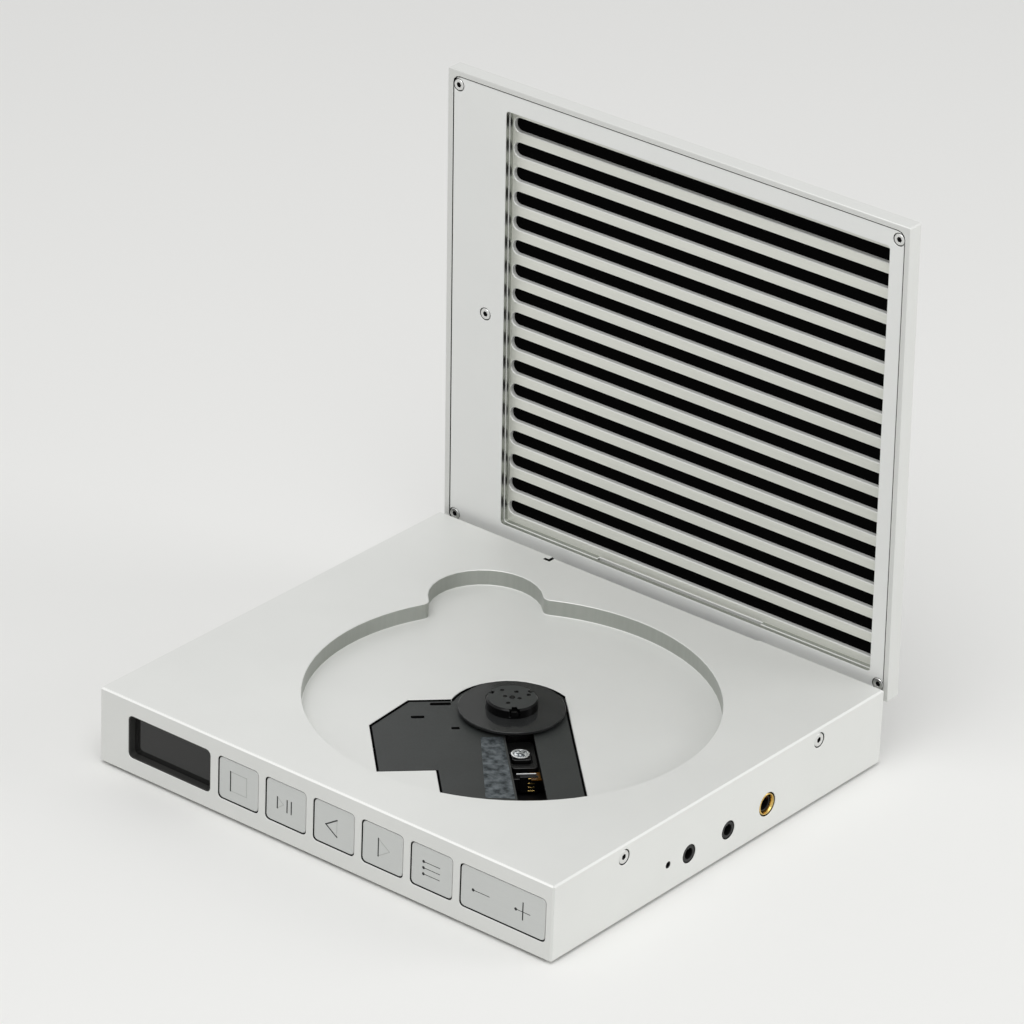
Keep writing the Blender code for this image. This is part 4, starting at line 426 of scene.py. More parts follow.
def break_edges(shape, width, edge_finish, foot=-1.0):
    """Take a narrow flat off every outer corner, and off the inner ones that lie at the level of a foot."""
    corners = [edge for edge in shape.edges if is_sharp(edge)
               and (edge.is_convex or all(abs(v.co.z - foot) < SAME_LEVEL for v in edge.verts))]
    made = bmesh.ops.bevel(shape, geom=corners, offset=width, offset_type="OFFSET", segments=1,
                           affect="EDGES", clamp_overlap=False)
    for face in made["faces"]:
        if slanted(face) and strip_width(face) < 2 * width:
            face.material_index = edge_finish(face)


def cut_faces(shape, planes):
    """Cut faces along planes through their holes, so that no face runs all round a hole."""
    for point, normal in planes:
        everything = shape.verts[:] + shape.edges[:] + shape.faces[:]
        made = bmesh.ops.bisect_plane(shape, geom=everything, dist=SAME_POINT, plane_co=point,
                                      plane_no=normal)
        for item in made["geom_cut"]:
            if isinstance(item, bmesh.types.BMEdge):
                item.seam = True


def first_finish(face):
    """Every face has the first finish."""
    return 0


def edges_eased(name, width, finishes, body, slot, planes=(), region=first_finish, edge_region=None,
                foot=-1.0):
    """A solid of the player again, its corners broken and each face in the finish of its region.

    Without an edge region of their own, the broken corners have the last finish.
    """
    shape = bmesh.new()
    shape.from_mesh(SOLIDS[name].data)
    bmesh.ops.remove_doubles(shape, verts=shape.verts, dist=WELD)
    cut_faces(shape, planes)
    bmesh.ops.dissolve_limit(shape, angle_limit=SAME_PLANE, verts=shape.verts, edges=shape.edges,
                             delimit={"SEAM"})
    edge_region = edge_region or (lambda face: len(finishes) - 1)
    for face in shape.faces:
        chamfer = slanted(face) and strip_width(face) < CHAMFER_WIDTH and face.calc_area() > CHAMFER_FACE
        face.material_index = edge_region(face) if chamfer else region(face)
    break_edges(shape, width, edge_region, foot)
    return fit(solid_from(f"{name}_finished", shape, finishes), body, slot, name)


def rounded(x, y, corner, steps=5):
    """A rectangle's outline with round corners."""
    middles = ((x[1] - corner, y[1] - corner), (x[0] + corner, y[1] - corner),
               (x[0] + corner, y[0] + corner), (x[1] - corner, y[0] + corner))
    turns = [(i, math.radians(90) * (i + k / steps)) for i in range(4) for k in range(steps + 1)]
    return [(middles[i][0] + corner * math.cos(a), middles[i][1] + corner * math.sin(a)) for i, a in turns]


def circle(centre, radius, steps=24):
    """A circle's outline."""
    turns = [math.tau * k / steps for k in range(steps)]
    return [(centre[0] + radius * math.cos(a), centre[1] + radius * math.sin(a)) for a in turns]


def plate(outlines, low, high, edge=0.0):
    """A flat plate between two levels: the first outline is its rim and the others are holes in it."""
    shape = bmesh.new()
    rims = []
    for outline in outlines:
        corners = [shape.verts.new((x, y, low)) for x, y in outline]
        rims += [shape.edges.new(pair) for pair in zip(corners, corners[1:] + corners[:1])]
    bmesh.ops.triangle_fill(shape, use_beauty=True, edges=rims)
    bmesh.ops.dissolve_limit(shape, angle_limit=SAME_PLANE, verts=shape.verts, edges=shape.edges)
    lifted = bmesh.ops.extrude_face_region(shape, geom=shape.faces[:])["geom"]
    for item in lifted:
        if isinstance(item, bmesh.types.BMVert):
            item.co.z = high
    bmesh.ops.recalc_face_normals(shape, faces=shape.faces)
    if edge:
        break_edges(shape, edge, first_finish)
    return shape


def turned(profile, steps=48):
    """A round shape from its half profile of (radius, height) points, which closes on itself."""
    shape = bmesh.new()
    corners = [shape.verts.new((radius, 0, height)) for radius, height in profile]
    edges = [shape.edges.new(pair) for pair in zip(corners, corners[1:] + corners[:1])
             if pair[0].co.x > 0 or pair[1].co.x > 0]
    bmesh.ops.spin(shape, geom=corners + edges, axis=(0, 0, 1), cent=(0, 0, 0), angle=math.tau,
                   steps=steps, use_merge=True)
    bmesh.ops.remove_doubles(shape, verts=shape.verts, dist=SAME_POINT)
    return shape


def bar(x, y, z, edge):
    """A straight bar with broken edges, from its extent each way."""
    return plate([[(x[0], y[0]), (x[1], y[0]), (x[1], y[1]), (x[0], y[1])]], z[0], z[1], edge)


def moved(shape, place):
    """The shape at its place on the player."""
    bmesh.ops.transform(shape, matrix=place, verts=shape.verts)
    return shape


def joined(parts):
    """Several shapes as one, each part with a finish number for all its faces."""
    whole = bmesh.new()
    for part, number in parts:
        for face in part.faces:
            face.material_index = number
        mesh = bpy.data.meshes.new("part")
        part.to_mesh(mesh)
        part.free()
        whole.from_mesh(mesh)
        bpy.data.meshes.remove(mesh)
    return whole


def carve(piece, cutter_shape, finishes):
    """Cut a shape out of a piece; the new faces have the cutter's finishes."""
    cutter = solid_from("cutter", cutter_shape, finishes)
    cut = piece.modifiers.new("cut", "BOOLEAN")
    cut.object = cutter
    cut.solver = "EXACT"
    cut.use_self = True
    cut.material_mode = "TRANSFER"
    bpy.context.view_layer.update()
    whole = piece.evaluated_get(bpy.context.evaluated_depsgraph_get())
    carved = bpy.data.meshes.new_from_object(whole)
    shape = bmesh.new()
    shape.from_mesh(carved)
    smooth_curves(shape)
    shape.to_mesh(carved)
    shape.free()
    piece.modifiers.clear()
    piece.data = carved
    bpy.data.objects.remove(cutter)


def wear(finish, *names):
    """Give solids of the player their finish."""
    for name in names:
        for slot in SOLIDS[name].material_slots:
            slot.material = finish


# Front pieces are drawn face up: x to the right, y up the front, z out of it.
FRONT = Matrix.Rotation(math.radians(90), 4, "X")
# Side pieces are drawn standing up, and look out of the right side.
OUTWARD = Matrix.Rotation(math.radians(90), 4, "Y")


def engrave(piece, strokes, depths, finishes):
    """Cut a mark's strokes into the face of a key; each is an outline with the number of its finish."""
    parts = [(plate([outline], -KEY_FACE - depths[number], -KEY_FACE + depths[number]), number)
             for outline, number in strokes]
    carve(piece, moved(joined(parts), FRONT), finishes)


def socket_screw(name, head_radius, head, shank_radius, shank, socket, place):
    """A flat-headed steel screw with a six-sided socket painted black as shade, its face at z = 0 and its
    shank down.
    """
    edge = 0.15 * MM
    depth = 0.5 * MM
    socket_edge = 0.08 * MM
    steps = 36
    side = math.radians(60)
    rings = [(shank_radius, -head - shank, False), (shank_radius, -head, False), (head_radius, -head, False),
             (head_radius, -edge, False), (head_radius - edge, 0, False), (socket + socket_edge, 0, True),
             (socket, -socket_edge, True), (socket, -depth, True)]
    shape = bmesh.new()
    loops = []
    for radius, height, six_sided in rings:
        loop = []
        for k in range(steps):
            angle = math.tau * k / steps
            reach = radius * math.cos(side / 2) / math.cos(angle % side - side / 2) if six_sided else radius
            loop.append(shape.verts.new((reach * math.cos(angle), reach * math.sin(angle), height)))
        loops.append(loop)
    socket_wall = len(rings) - 2
    for number, (below, above) in enumerate(zip(loops, loops[1:])):
        for k in range(steps):
            face = shape.faces.new((below[k], below[k - 1], above[k - 1], above[k]))
            face.material_index = 1 if number >= socket_wall else 0
    shape.faces.new(loops[0])
    shape.faces.new(loops[-1]).material_index = 1
    return solid_from(name, moved(shape, place), [screw_steel, gap_painted_shade])


# Studio

CAMERA_TURN, CAMERA_RISE, CAMERA_ROLL = (math.radians(a) for a in (38.27, 26.91, 2.147))
CAMERA_TARGET = Vector((0, -3.653 * MM, 1 * MM))
CAMERA_DISTANCE = 1792.073 * MM
CAMERA_SHIFT = (6.068 * MM, 73.513 * MM)
FOCAL_PIXELS = 6052.456
PHOTO_WIDTH = 1024
SENSOR_WIDTH = 36
ROOM_LIGHT = 0.55
ROOM_SEEN = 0.93


def build_camera():
    """A long lens from the front right, a little above the deck, slightly rolled."""
    level_reach = math.cos(CAMERA_RISE)
    back = Vector((math.sin(CAMERA_TURN) * level_reach, -math.cos(CAMERA_TURN) * level_reach,
                   math.sin(CAMERA_RISE)))
    level = Vector((math.cos(CAMERA_TURN), math.sin(CAMERA_TURN), 0))
    upright = back.cross(level)
    right = level * math.cos(CAMERA_ROLL) + upright * math.sin(CAMERA_ROLL)
    up = upright * math.cos(CAMERA_ROLL) - level * math.sin(CAMERA_ROLL)
    place = CAMERA_TARGET + back * CAMERA_DISTANCE + right * CAMERA_SHIFT[0] + up * CAMERA_SHIFT[1]
    lens = bpy.data.cameras.new("camera")
    lens.sensor_width = SENSOR_WIDTH
    lens.lens = FOCAL_PIXELS / PHOTO_WIDTH * SENSOR_WIDTH
    lens.clip_end = 20
    camera = bpy.data.objects.new("camera", lens)
    axes = Matrix((right, up, back)).transposed().to_4x4()
    camera.matrix_world = Matrix.Translation(place) @ axes
    bpy.context.scene.collection.objects.link(camera)
    bpy.context.scene.camera = camera


def build_lamp(name, place, aim, size, power):
    """A soft square lamp that looks at a point."""
    light = bpy.data.lights.new(name, "AREA")
    light.shape = "SQUARE"
    light.size = size
    light.energy = power
    lamp = bpy.data.objects.new(name, light)
    lamp.location = place
    lamp.rotation_euler = (Vector(place) - Vector(aim)).to_track_quat("Z", "Y").to_euler()
    bpy.context.scene.collection.objects.link(lamp)


def build_room():
    """A pale room: softer as light on the player than it looks to the camera or in a mirror."""
    world = bpy.data.worlds.new("pale_room")
    bpy.context.scene.world = world
    world.use_nodes = True
    world.node_tree.nodes.clear()
    path = add_node(world, "ShaderNodeLightPath", {}, {}).outputs
    shiny = add_node(world, "ShaderNodeMath", {"operation": "MAXIMUM"},
                     {0: path["Is Camera Ray"], 1: path["Is Glossy Ray"]})
    seen = add_node(world, "ShaderNodeMath", {"operation": "MAXIMUM"},
                    {0: shiny, 1: path["Is Transmission Ray"]})
    strength = add_node(world, "ShaderNodeMapRange", {},
                        {"Value": seen, "To Min": ROOM_LIGHT, "To Max": ROOM_SEEN})
    sky = add_node(world, "ShaderNodeBackground", {}, {"Color": linear("FFFFFF"), "Strength": strength})
    add_node(world, "ShaderNodeOutputWorld", {}, {"Surface": sky})


def build_floor():
    """A plain pale painted floor, matt, its tone drifting a little over 400 mm."""
    finish, place = new_finish("painted_floor")
    tint = add_node(finish, "ShaderNodeTexNoise", {}, {"Vector": place, "Scale": 1 / (400 * MM)})
    colour = add_node(finish, "ShaderNodeMix", {"data_type": "RGBA"},
                      {"Factor": tint, 6: linear("EBEBE9"), 7: linear("EFEFED")})
    paint = add_node(finish, "ShaderNodeBsdfPrincipled", {},
                     {"Roughness": 0.75, "IOR": 1.4, "Base Color": colour.outputs[2]})
    add_node(finish, "ShaderNodeOutputMaterial", {}, {"Surface": paint})
    shape = bmesh.new()
    bmesh.ops.create_grid(shape, x_segments=12, y_segments=12, size=4)
    solid_from("floor", shape, [finish])


build_camera()
build_room()
build_floor()
build_lamp("overhead_lamp", place=(0.3, -0.6, 1.6), aim=(0, 0, 0), size=1.4, power=14)
build_lamp("back_right_lamp", place=(1.3, 0.9, 0.5), aim=(0, 0, 0.05), size=0.9, power=7)
bpy.context.scene.view_settings.view_transform = "Standard"

case_metal = linished_aluminium()
plate_metal = blasted_aluminium("blasted_aluminium", "E6E7E5", "ECEDEB", 0.5)
shell_metal = blasted_aluminium("blasted_lid_aluminium", "D4D5D2", "DCDDDA", 0.5)
slat_metal = brushed_aluminium("brushed_slat_aluminium", "DADBD3", "E6E7DF", 0.5 * MM, 0.42)
key_metal = brushed_aluminium("brushed_key_aluminium", "C9CBC9", "D0D2D0", 0.25 * MM, 0.4)
# Milled walls, their darker tone painted shade.
milled_shaded_wall = milled_aluminium_painted_shade()
# Broken edges painted lighter as a highlight; the front rim's near-white is the strongest painted highlight.
painted_highlight_edge = cut_aluminium("diamond_cut_painted_highlight", "DCDDDA", "E4E5E2")
painted_highlight_rim = cut_aluminium("polished_cut_painted_highlight", "F4F5F2", "FAFAF8")
steel = plated_steel("nickel_plated_steel", "A9AAAB", "BFC0C0")
screw_steel = plated_steel("stainless_screw_steel", "D6D7D5", "E6E6E4")
coat = coated_steel()
black_abs = moulded_plastic("moulded_black_abs", "0E0E0E", "141414", 0.42, 0.3)
black_pps = moulded_plastic("moulded_black_pps", "070707", "0C0C0C", 0.3, 0.2)
# Broken edges of black plastic in a lighter grey: painted highlight.
black_edge_highlight = moulded_plastic("black_abs_painted_edge_highlight", "1E1E1E", "262626", 0.35, 0.3)
dark_pom = moulded_plastic("turned_black_pom", "141414", "1A1A1A", 0.34, 0.3)
table_pom = moulded_plastic("polished_grey_pom", "242525", "2A2B2B", 0.14, 0.3)
# Near-black: the claws' own colour, and painted shade on the hub's side and in its cap's holes.
hub_black_and_painted_shade = moulded_plastic("polished_black_pom_and_painted_shade", "050505", "090909", 0.25, 0.15)
# Near-black painted shade for narrow gaps, bores, sockets and cut sides, drawn with a moulded plastic's
# texture.
gap_painted_shade = moulded_plastic("black_gap_painted_shade", "070707", "0C0C0C", 0.7, 0.1)
# Two tones of one engraving: dark strokes are painted shade, pale strokes painted light.
mark_painted_shade = moulded_plastic("engraved_line_painted_shade", "3A3C3B", "464847", 0.6, 0.2)
mark_painted_light = moulded_plastic("engraved_line_painted_light", "B3B5B2", "BDBFBC", 0.6, 0.3)
gold = gold_plating("hard_gold_plating", "B99445", "E4CA86")
copper = gold_plating("copper_contact", "8A4A2C", "B56B45")
rubber = silicone_rubber()
pane = smoked_acrylic()
well_abs = moulded_plastic("polished_grey_abs", "363635", "3E3E3C", 0.2, 0.45)
glass = coated_lens("coated_lens_glass", "50565A", "E9EDEF")
lens_ring = coated_lens("bright_lens_ring", "C9CCCD", "F0F1F1")
board = circuit_board()
wrap = shrunk_film()
amber = polyimide_film()
foil = crinkled_foil()
slot_shade_gauze = polyester_gauze_painted_shade()


# Case

METAL, WALL, DARK, BRIGHT, RIM = range(5)
CORNER_START = 72 * MM
FOOT_RIM = 4 * MM


def case_region(face):
    """Blasted outside, milled walls in the well darker as painted shade, black as painted shade in every
    narrow gap.
    """
    middle = face.calc_center_median()
    x, y, z = abs(middle.x), middle.y, middle.z
    upright = abs(face.normal.z) < SLANT
    from_spindle = math.hypot(middle.x - SPINDLE.x, y - SPINDLE.y)
    inside = x < CASE_SIDE - ON_FACE and y > CASE_FRONT + ON_FACE
    if upright and inside and z > WELL_FLOOR:
        if y > RELIEF_START:
            return DARK if face.calc_area() < SMALL_WALL else METAL
        return WALL
    if upright and from_spindle < HATCH_REACH and WELL_FLOOR - WELL_FLOOR_PLATE < z < WELL_FLOOR:
        return DARK
    in_front_wall = y < CASE_FRONT + CASE_WALL and x < CASE_SIDE - CASE_WALL
    if in_front_wall and abs(face.normal.y) < SLANT and abs(z - KEY_ROW) < KEY_REACH:
        return DARK
    in_side_wall = x > CASE_SIDE - CASE_WALL and COVER_REACH < z < DECK_TOP - ON_FACE
    if in_side_wall and abs(face.normal.x) < SLANT and abs(y) < JACK_REACH:
        return DARK
    return METAL


def case_edge(face):
    """Painted highlight on the front rim, strongest there, and on the deck, corners and foot; black as
    painted shade in the hinge reliefs.
    """
    middle = face.calc_center_median()
    on_side = abs(middle.x) > CASE_SIDE - ON_FACE
    on_front = middle.y < CASE_FRONT + ON_FACE
    if not on_side and middle.y > RELIEF_START and middle.z > WELL_FLOOR:
        return DARK
    if middle.z > DECK_TOP - ON_FACE:
        if on_front:
            return RIM
        return METAL if on_side else BRIGHT
    upright_corner = on_side and abs(middle.y) > CORNER_START
    on_foot_rim = (on_side or on_front) and middle.z <= FOOT_RIM
    return BRIGHT if upright_corner or on_foot_rim else METAL


case_planes = [(SPINDLE, SIDEWAYS)]
case_planes += [(Vector((0, 0, level)), UPWARD) for level in (JACK_LEVEL, KEY_ROW, RELIEF_LEVEL)]
edges_eased("upper_case", CASE_EDGE, [case_metal, milled_shaded_wall, gap_painted_shade, painted_highlight_edge, painted_highlight_rim], "case",
            "blasted_aluminium", case_planes, case_region, case_edge, WELL_FLOOR)
edges_eased("bottom_cover", SHEET_EDGE, [plate_metal, painted_highlight_edge], "case", "blasted_aluminium")

PINHOLE = Vector((CASE_SIDE - CASE_WALL, -28.753 * MM, 9.7 * MM))
# The cup's half profile in mm, as radius and height
CUP_PROFILE = ((0, 0), (1.0, 0), (1.0, 1.75), (0.8, 1.75), (0.65, 0.5), (0, 0.4))
cup = turned([(radius * MM, height * MM) for radius, height in CUP_PROFILE], steps=24)
fit(solid_from("pinhole_cup", moved(cup, Matrix.Translation(PINHOLE) @ OUTWARD), [black_abs]),
    "case", "black_plastic")


# Lid

def lid_region(face):
    """Outside, rim and slot walls blasted, slats brushed, window walls milled and darker as painted shade,
    gaps black as painted shade.
    """
    middle = LID.inverted() @ face.calc_center_median()
    normal = LID.inverted().to_3x3() @ face.normal
    if abs(normal.z) > SLANT:
        return 1 if abs(middle.z - SLAT_FACE) < SAME_FACE else 0
    if abs(middle.x) > LID_RIM_SIDE or not LID_RIM_ENDS[0] <= middle.y <= LID_RIM_ENDS[1]:
        return 0
    if middle.z > SLAT_FACE:
        return 0
    return 2 if middle.z > LID_SEAT else 3


def plate_region(face):
    """The plate's face blasted, its window walls milled and darker as painted shade, its rim, screw holes
    and slit black as painted shade.
    """
    middle = LID.inverted() @ face.calc_center_median()
    normal = LID.inverted().to_3x3() @ face.normal
    if abs(normal.z) > SLANT:
        return 0
    in_window = WINDOW_SIDES[0] < middle.x < WINDOW_SIDES[1] and WINDOW_ENDS[0] < middle.y < WINDOW_ENDS[1]
    return 1 if in_window else 2


def lid_plane(x, y, normal):
    """A cutting plane given on the closed lid."""
    return LID @ Vector((x, y, 0)), LID.to_3x3() @ normal


lid_planes = [lid_plane(LID_MIDDLE, 0, SIDEWAYS)]
lid_planes += [lid_plane(0, y, FORWARD) for y in (SCREW_ROWS[0], WINDOW_MIDDLE, SCREW_ROWS[1])]
edges_eased("lid_shell", SHEET_EDGE, [shell_metal, slat_metal, milled_shaded_wall, gap_painted_shade, painted_highlight_edge], "lid",
            "blasted_aluminium", lid_planes, lid_region)
edges_eased("lid_inner_plate", LID_PLATE_EDGE, [plate_metal, milled_shaded_wall, gap_painted_shade, painted_highlight_edge], "lid",
            "blasted_aluminium", lid_planes, plate_region)

# Near-black strips fill the lid's slots as painted shade for the dark seen through them.
SHADE_STRIP_GAP = 0.05 * MM
SHADE_STRIP_DEPTH = 0.15 * MM
SHADE_STRIP_SUNK = 0.3 * MM
SHADE_STRIP_END_FLAT = 0.2 * MM
for number in range(SLOT_COUNT):
    y = WINDOW_MIDDLE + SLOT_PITCH * (number - (SLOT_COUNT - 1) / 2)
    half = SLOT_HEIGHT / 2 - SHADE_STRIP_GAP
    outline = rounded((SLOT_ENDS[0] + SHADE_STRIP_GAP, SLOT_ENDS[1] - SHADE_STRIP_GAP), (y - half, y + half),
                      half - SHADE_STRIP_END_FLAT, steps=8)
    high = LID_BACK - SHADE_STRIP_SUNK
    strip = plate([outline], high - SHADE_STRIP_DEPTH, high)
    fit(solid_from(f"slot_shade_strip_{number + 1}", moved(strip, LID), [slot_shade_gauze]), "lid", "black_plastic")


# Screws: side screws look out sideways, lid screws look out of the plate's face

for number in range(1, 5):
    low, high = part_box(f"side_screw_{number}")
    side = 1 if high.x > 0 else -1
    head = Vector((high.x if side > 0 else low.x, (low.y + high.y) / 2, (low.z + high.z) / 2))
    turn = Matrix.Rotation(side * math.radians(90), 4, "Y")
    screw = socket_screw(f"side_socket_screw_{number}", head_radius=2.15 * MM, head=0.8 * MM,
                         shank_radius=1.0 * MM, shank=4.2 * MM, socket=0.95 * MM,
                         place=Matrix.Translation(head) @ turn)
    fit(screw, "case", "bright_steel", f"side_screw_{number}")

LID_FLIP = LID.to_3x3().to_4x4() @ Matrix.Rotation(math.pi, 4, "X")
LID_LEAN = math.radians(1.8)
for number in range(1, 6):
    low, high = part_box(f"lid_screw_{number}")
    radius = (high.x - low.x) / 2
    head = Vector(((low.x + high.x) / 2, low.y + radius * math.sin(LID_LEAN), (low.z + high.z) / 2))
    screw = socket_screw(f"lid_socket_screw_{number}", head_radius=radius, head=0.6 * MM,
                         shank_radius=0.9 * MM, shank=2.6 * MM, socket=0.9 * MM,
                         place=Matrix.Translation(head) @ LID_FLIP)
    fit(screw, "lid", "bright_steel", f"lid_screw_{number}")


# Display: a dark-walled well with the pane at its end

BEZEL_RIM = 1.1 * MM
OPENING_CORNER = 1.5 * MM
OPENING_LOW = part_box("display_bezel")[0] + Vector((BEZEL_RIM, 0, BEZEL_RIM))
OPENING_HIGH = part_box("display_bezel")[1] - Vector((BEZEL_RIM, 0, BEZEL_RIM))
WELL_LEVELS = (-CASE_FRONT - 3.3 * MM, -CASE_FRONT - 0.3 * MM)
PANE_LEVELS = (-CASE_FRONT - 3.25 * MM, -CASE_FRONT - 2.65 * MM)
WELL_OUTER_GAP = 0.1 * MM
WELL_INNER_GAP = 0.32 * MM
PANE_GAP = 0.36 * MM
PANE_EDGE = 0.06 * MM


def opening_outline(shrink):
    """The display opening's outline, drawn in by an amount."""
    x = (OPENING_LOW.x + shrink, OPENING_HIGH.x - shrink)
    z = (OPENING_LOW.z + shrink, OPENING_HIGH.z - shrink)
    return rounded(x, z, OPENING_CORNER - shrink)


well = plate([opening_outline(WELL_OUTER_GAP), opening_outline(WELL_INNER_GAP)], *WELL_LEVELS)
fit(solid_from("display_well", moved(well, FRONT), [well_abs]), "case", "black_plastic", "display_bezel")
pane_shape = plate([opening_outline(PANE_GAP)], *PANE_LEVELS, PANE_EDGE)
fit(solid_from("display_pane", moved(pane_shape, FRONT), [pane]), "case", "display_window", "display_lens")


# Keys and their engraved marks, whose places are in mm about the middle of each key

LINE = 0.42 * MM
THIN_LINE = 0.22 * MM
DOT_RADIUS = 0.5 * MM
SHADED_MARK, LIT_MARK = 0, 1
MARK_DEPTHS = (0.22 * MM, 0.05 * MM)
LIST_ROWS = (1.95, -0.05, -2.05)
THICK_STROKES = {
    "stop": [((-3.1, -3.1), (-3.1, 3.2))],
    "play": [((-3.3, -1.8), (-3.3, 1.8)), ((0.4, -2.0), (0.4, 1.9)), ((2.0, -2.0), (2.0, 1.9))],
    "previous": [((-3.1, 0), (1.1, 2.7)), ((-3.1, 0), (1.1, -2.8))],
    "next": [((-1.6, -2.8), (-1.6, 2.9))],
    "list": [],
    "volume": [((7.2, -2.6), (7.2, 2.8))]}
THIN_STROKES = {
    "stop": [((-3.1, -3.1), (3.1, -3.1)), ((3.1, -3.1), (3.1, 3.2)), ((3.1, 3.2), (-3.1, 3.2))],
    "play": [((-3.3, 1.8), (-0.9, 0)), ((-0.9, 0), (-3.3, -1.8))],
    "previous": [((1.1, -2.8), (1.1, 2.7))],
    "next": [((-1.6, 2.9), (2.6, 0)), ((2.6, 0), (-1.6, -2.8))],
    "list": [((-2.6, row), (2.9, row)) for row in LIST_ROWS],
    "volume": [((-10.3, -0.1), (-4.95, -0.1)), ((5.1, -0.1), (9.8, -0.1))]}
DOTS = {"list": [(-3.0, row) for row in LIST_ROWS], "volume": [(-10.8, -0.1), (4.65, -0.1)]}


def line_stroke(start, end, width, middle):
    """A straight stroke of a mark about the key's middle, with square ends."""
    a = Vector(start) * MM + middle
    b = Vector(end) * MM + middle
    along = (b - a).normalized() * width / 2
    across = Vector((-along.y, along.x))
    return [tuple(p) for p in (a - along - across, b + along - across, b + along + across,
                               a - along + across)]


def key_mark(name, middle):
    """The strokes of a key's mark: the thick ones and dots in painted shade, the thin ones in painted light
    where it has no dots.
    """
    dots = DOTS.get(name, [])
    tone = SHADED_MARK if dots else LIT_MARK
    strokes = [(line_stroke(a, b, THIN_LINE, middle), tone) for a, b in THIN_STROKES[name]]
    strokes += [(line_stroke(a, b, LINE, middle), SHADED_MARK) for a, b in THICK_STROKES[name]]
    return strokes + [(circle(Vector(dot) * MM + middle, DOT_RADIUS, steps=16), SHADED_MARK) for dot in dots]


for name in KEY_NAMES + ("volume",):
    node = "volume_rocker" if name == "volume" else f"key_{name}"
    key = edges_eased(node, KEY_EDGE, [key_metal, painted_highlight_edge], name, "key_aluminium")
    low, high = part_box(node)
    engrave(key, key_mark(name, Vector(((low.x + high.x) / 2, MARK_MIDDLE))), MARK_DEPTHS,
            [mark_painted_shade, mark_painted_light])


# Sockets

SLEEVE_LOW, SLEEVE_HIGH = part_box("balanced_jack_sleeve")
SLEEVE_MIDDLE = (SLEEVE_LOW + SLEEVE_HIGH) / 2
SLEEVE_LENGTH = SLEEVE_HIGH.x - SLEEVE_LOW.x
SLEEVE_RADIUS = 3.5 * MM
SLEEVE_BORE = 2.75 * MM
SLEEVE_EDGE = 0.2 * MM
SLEEVE_FLARE = (0.3 * MM, 0.5 * MM)
sleeve = turned([(SLEEVE_RADIUS, 0), (SLEEVE_RADIUS, SLEEVE_LENGTH - SLEEVE_EDGE),
                 (SLEEVE_RADIUS - SLEEVE_EDGE, SLEEVE_LENGTH),
                 (SLEEVE_BORE + SLEEVE_FLARE[0], SLEEVE_LENGTH),
                 (SLEEVE_BORE, SLEEVE_LENGTH - SLEEVE_FLARE[1]), (SLEEVE_BORE, 0)])
sleeve_place = Matrix.Translation((SLEEVE_LOW.x, SLEEVE_MIDDLE.y, SLEEVE_MIDDLE.z)) @ OUTWARD
fit(solid_from("gold_sleeve", moved(sleeve, sleeve_place), [gold]), "case", "gold_plate",
    "balanced_jack_sleeve")
NOSE_LEVELS = {"balanced_jack": SLEEVE_MIDDLE.z, "headphone_jack": SOCKET_LEVEL, "line_jack": SOCKET_LEVEL}
for name, level in NOSE_LEVELS.items():
    edges_eased(name, PLASTIC_EDGE, [black_abs, black_edge_highlight], "case", "black_plastic",
                [(Vector((0, 0, level)), UPWARD)])

LEAF_SIDES = (-0.7 * MM, 0.7 * MM)
LEAF_ENDS = (-1.3 * MM, 1.3 * MM)
LEAF_CORNER = 0.3 * MM
LEAF_THICKNESS = 0.25 * MM
LEAF_EDGE = 0.05 * MM
LEAF_SUNK = 0.1 * MM
LEAF_TURN = math.radians(35)


def contact_leaf(name, jack, bore, inset, finish):
    """A sprung contact against the upper rear wall of a jack's bore, just inside its mouth."""
    low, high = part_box(jack)
    leaf = plate([rounded(LEAF_SIDES, LEAF_ENDS, LEAF_CORNER)], 0, LEAF_THICKNESS, LEAF_EDGE)
    mouth = Matrix.Translation((high.x - inset, (low.y + high.y) / 2, NOSE_LEVELS[jack]))
    turn = Matrix.Rotation(LEAF_TURN, 4, "X") @ Matrix.Rotation(math.radians(90), 4, "X")
    place = mouth @ turn @ Matrix.Translation((0, 0, -bore + LEAF_SUNK))
    fit(solid_from(name, moved(leaf, place), [finish]), "case", "gold_plate")


contact_leaf("balanced_contact", "balanced_jack", bore=2.2 * MM, inset=1.2 * MM, finish=copper)
contact_leaf("headphone_contact", "headphone_jack", bore=1.75 * MM, inset=2.0 * MM, finish=steel)
contact_leaf("line_contact", "line_jack", bore=1.75 * MM, inset=2.0 * MM, finish=steel)


# Drive: cover plate, foil, turntable and claws

COVER_CUTS = (0, -17.4 * MM, -20.4 * MM, -28 * MM)
# The three vents' extents in mm along and across the drive
VENTS = (((-6.8, -5.2), (-23.5, -17.4)), ((0.9, 2.3), (-29.9, -25.9)), ((8.1, 9.5), (-18.6, -16.2)))
VENT_CORNER = 0.35 * MM
VENT_BELOW = 2 * MM
VENT_ABOVE = 1 * MM
# The foil strip's corners in mm along and across the drive
FOIL_OUTLINE = ((14.6, -10.6), (50.2, -12.6), (51.0, -4.1), (14.6, -4.1))
FOIL_GAP = 0.01 * MM
FOIL_THICKNESS = 0.05 * MM


def drive_plane(across):
    """A cutting plane along the drive's own length, at a place across it."""
    return DRIVE @ Vector((0, across, 0)), DRIVE.to_3x3() @ FORWARD


def dark_sides(face):
    """The face of a plate in its coat, its cut sides black as painted shade."""
    return 0 if abs(face.normal.z) > LEVEL_FACE else 1


cover = edges_eased("drive_cover", COVER_EDGE, [coat, gap_painted_shade, coat], "case", "dark_coated_steel",
                    [drive_plane(across) for across in COVER_CUTS], dark_sides)
COVER_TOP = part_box("drive_cover")[1].z

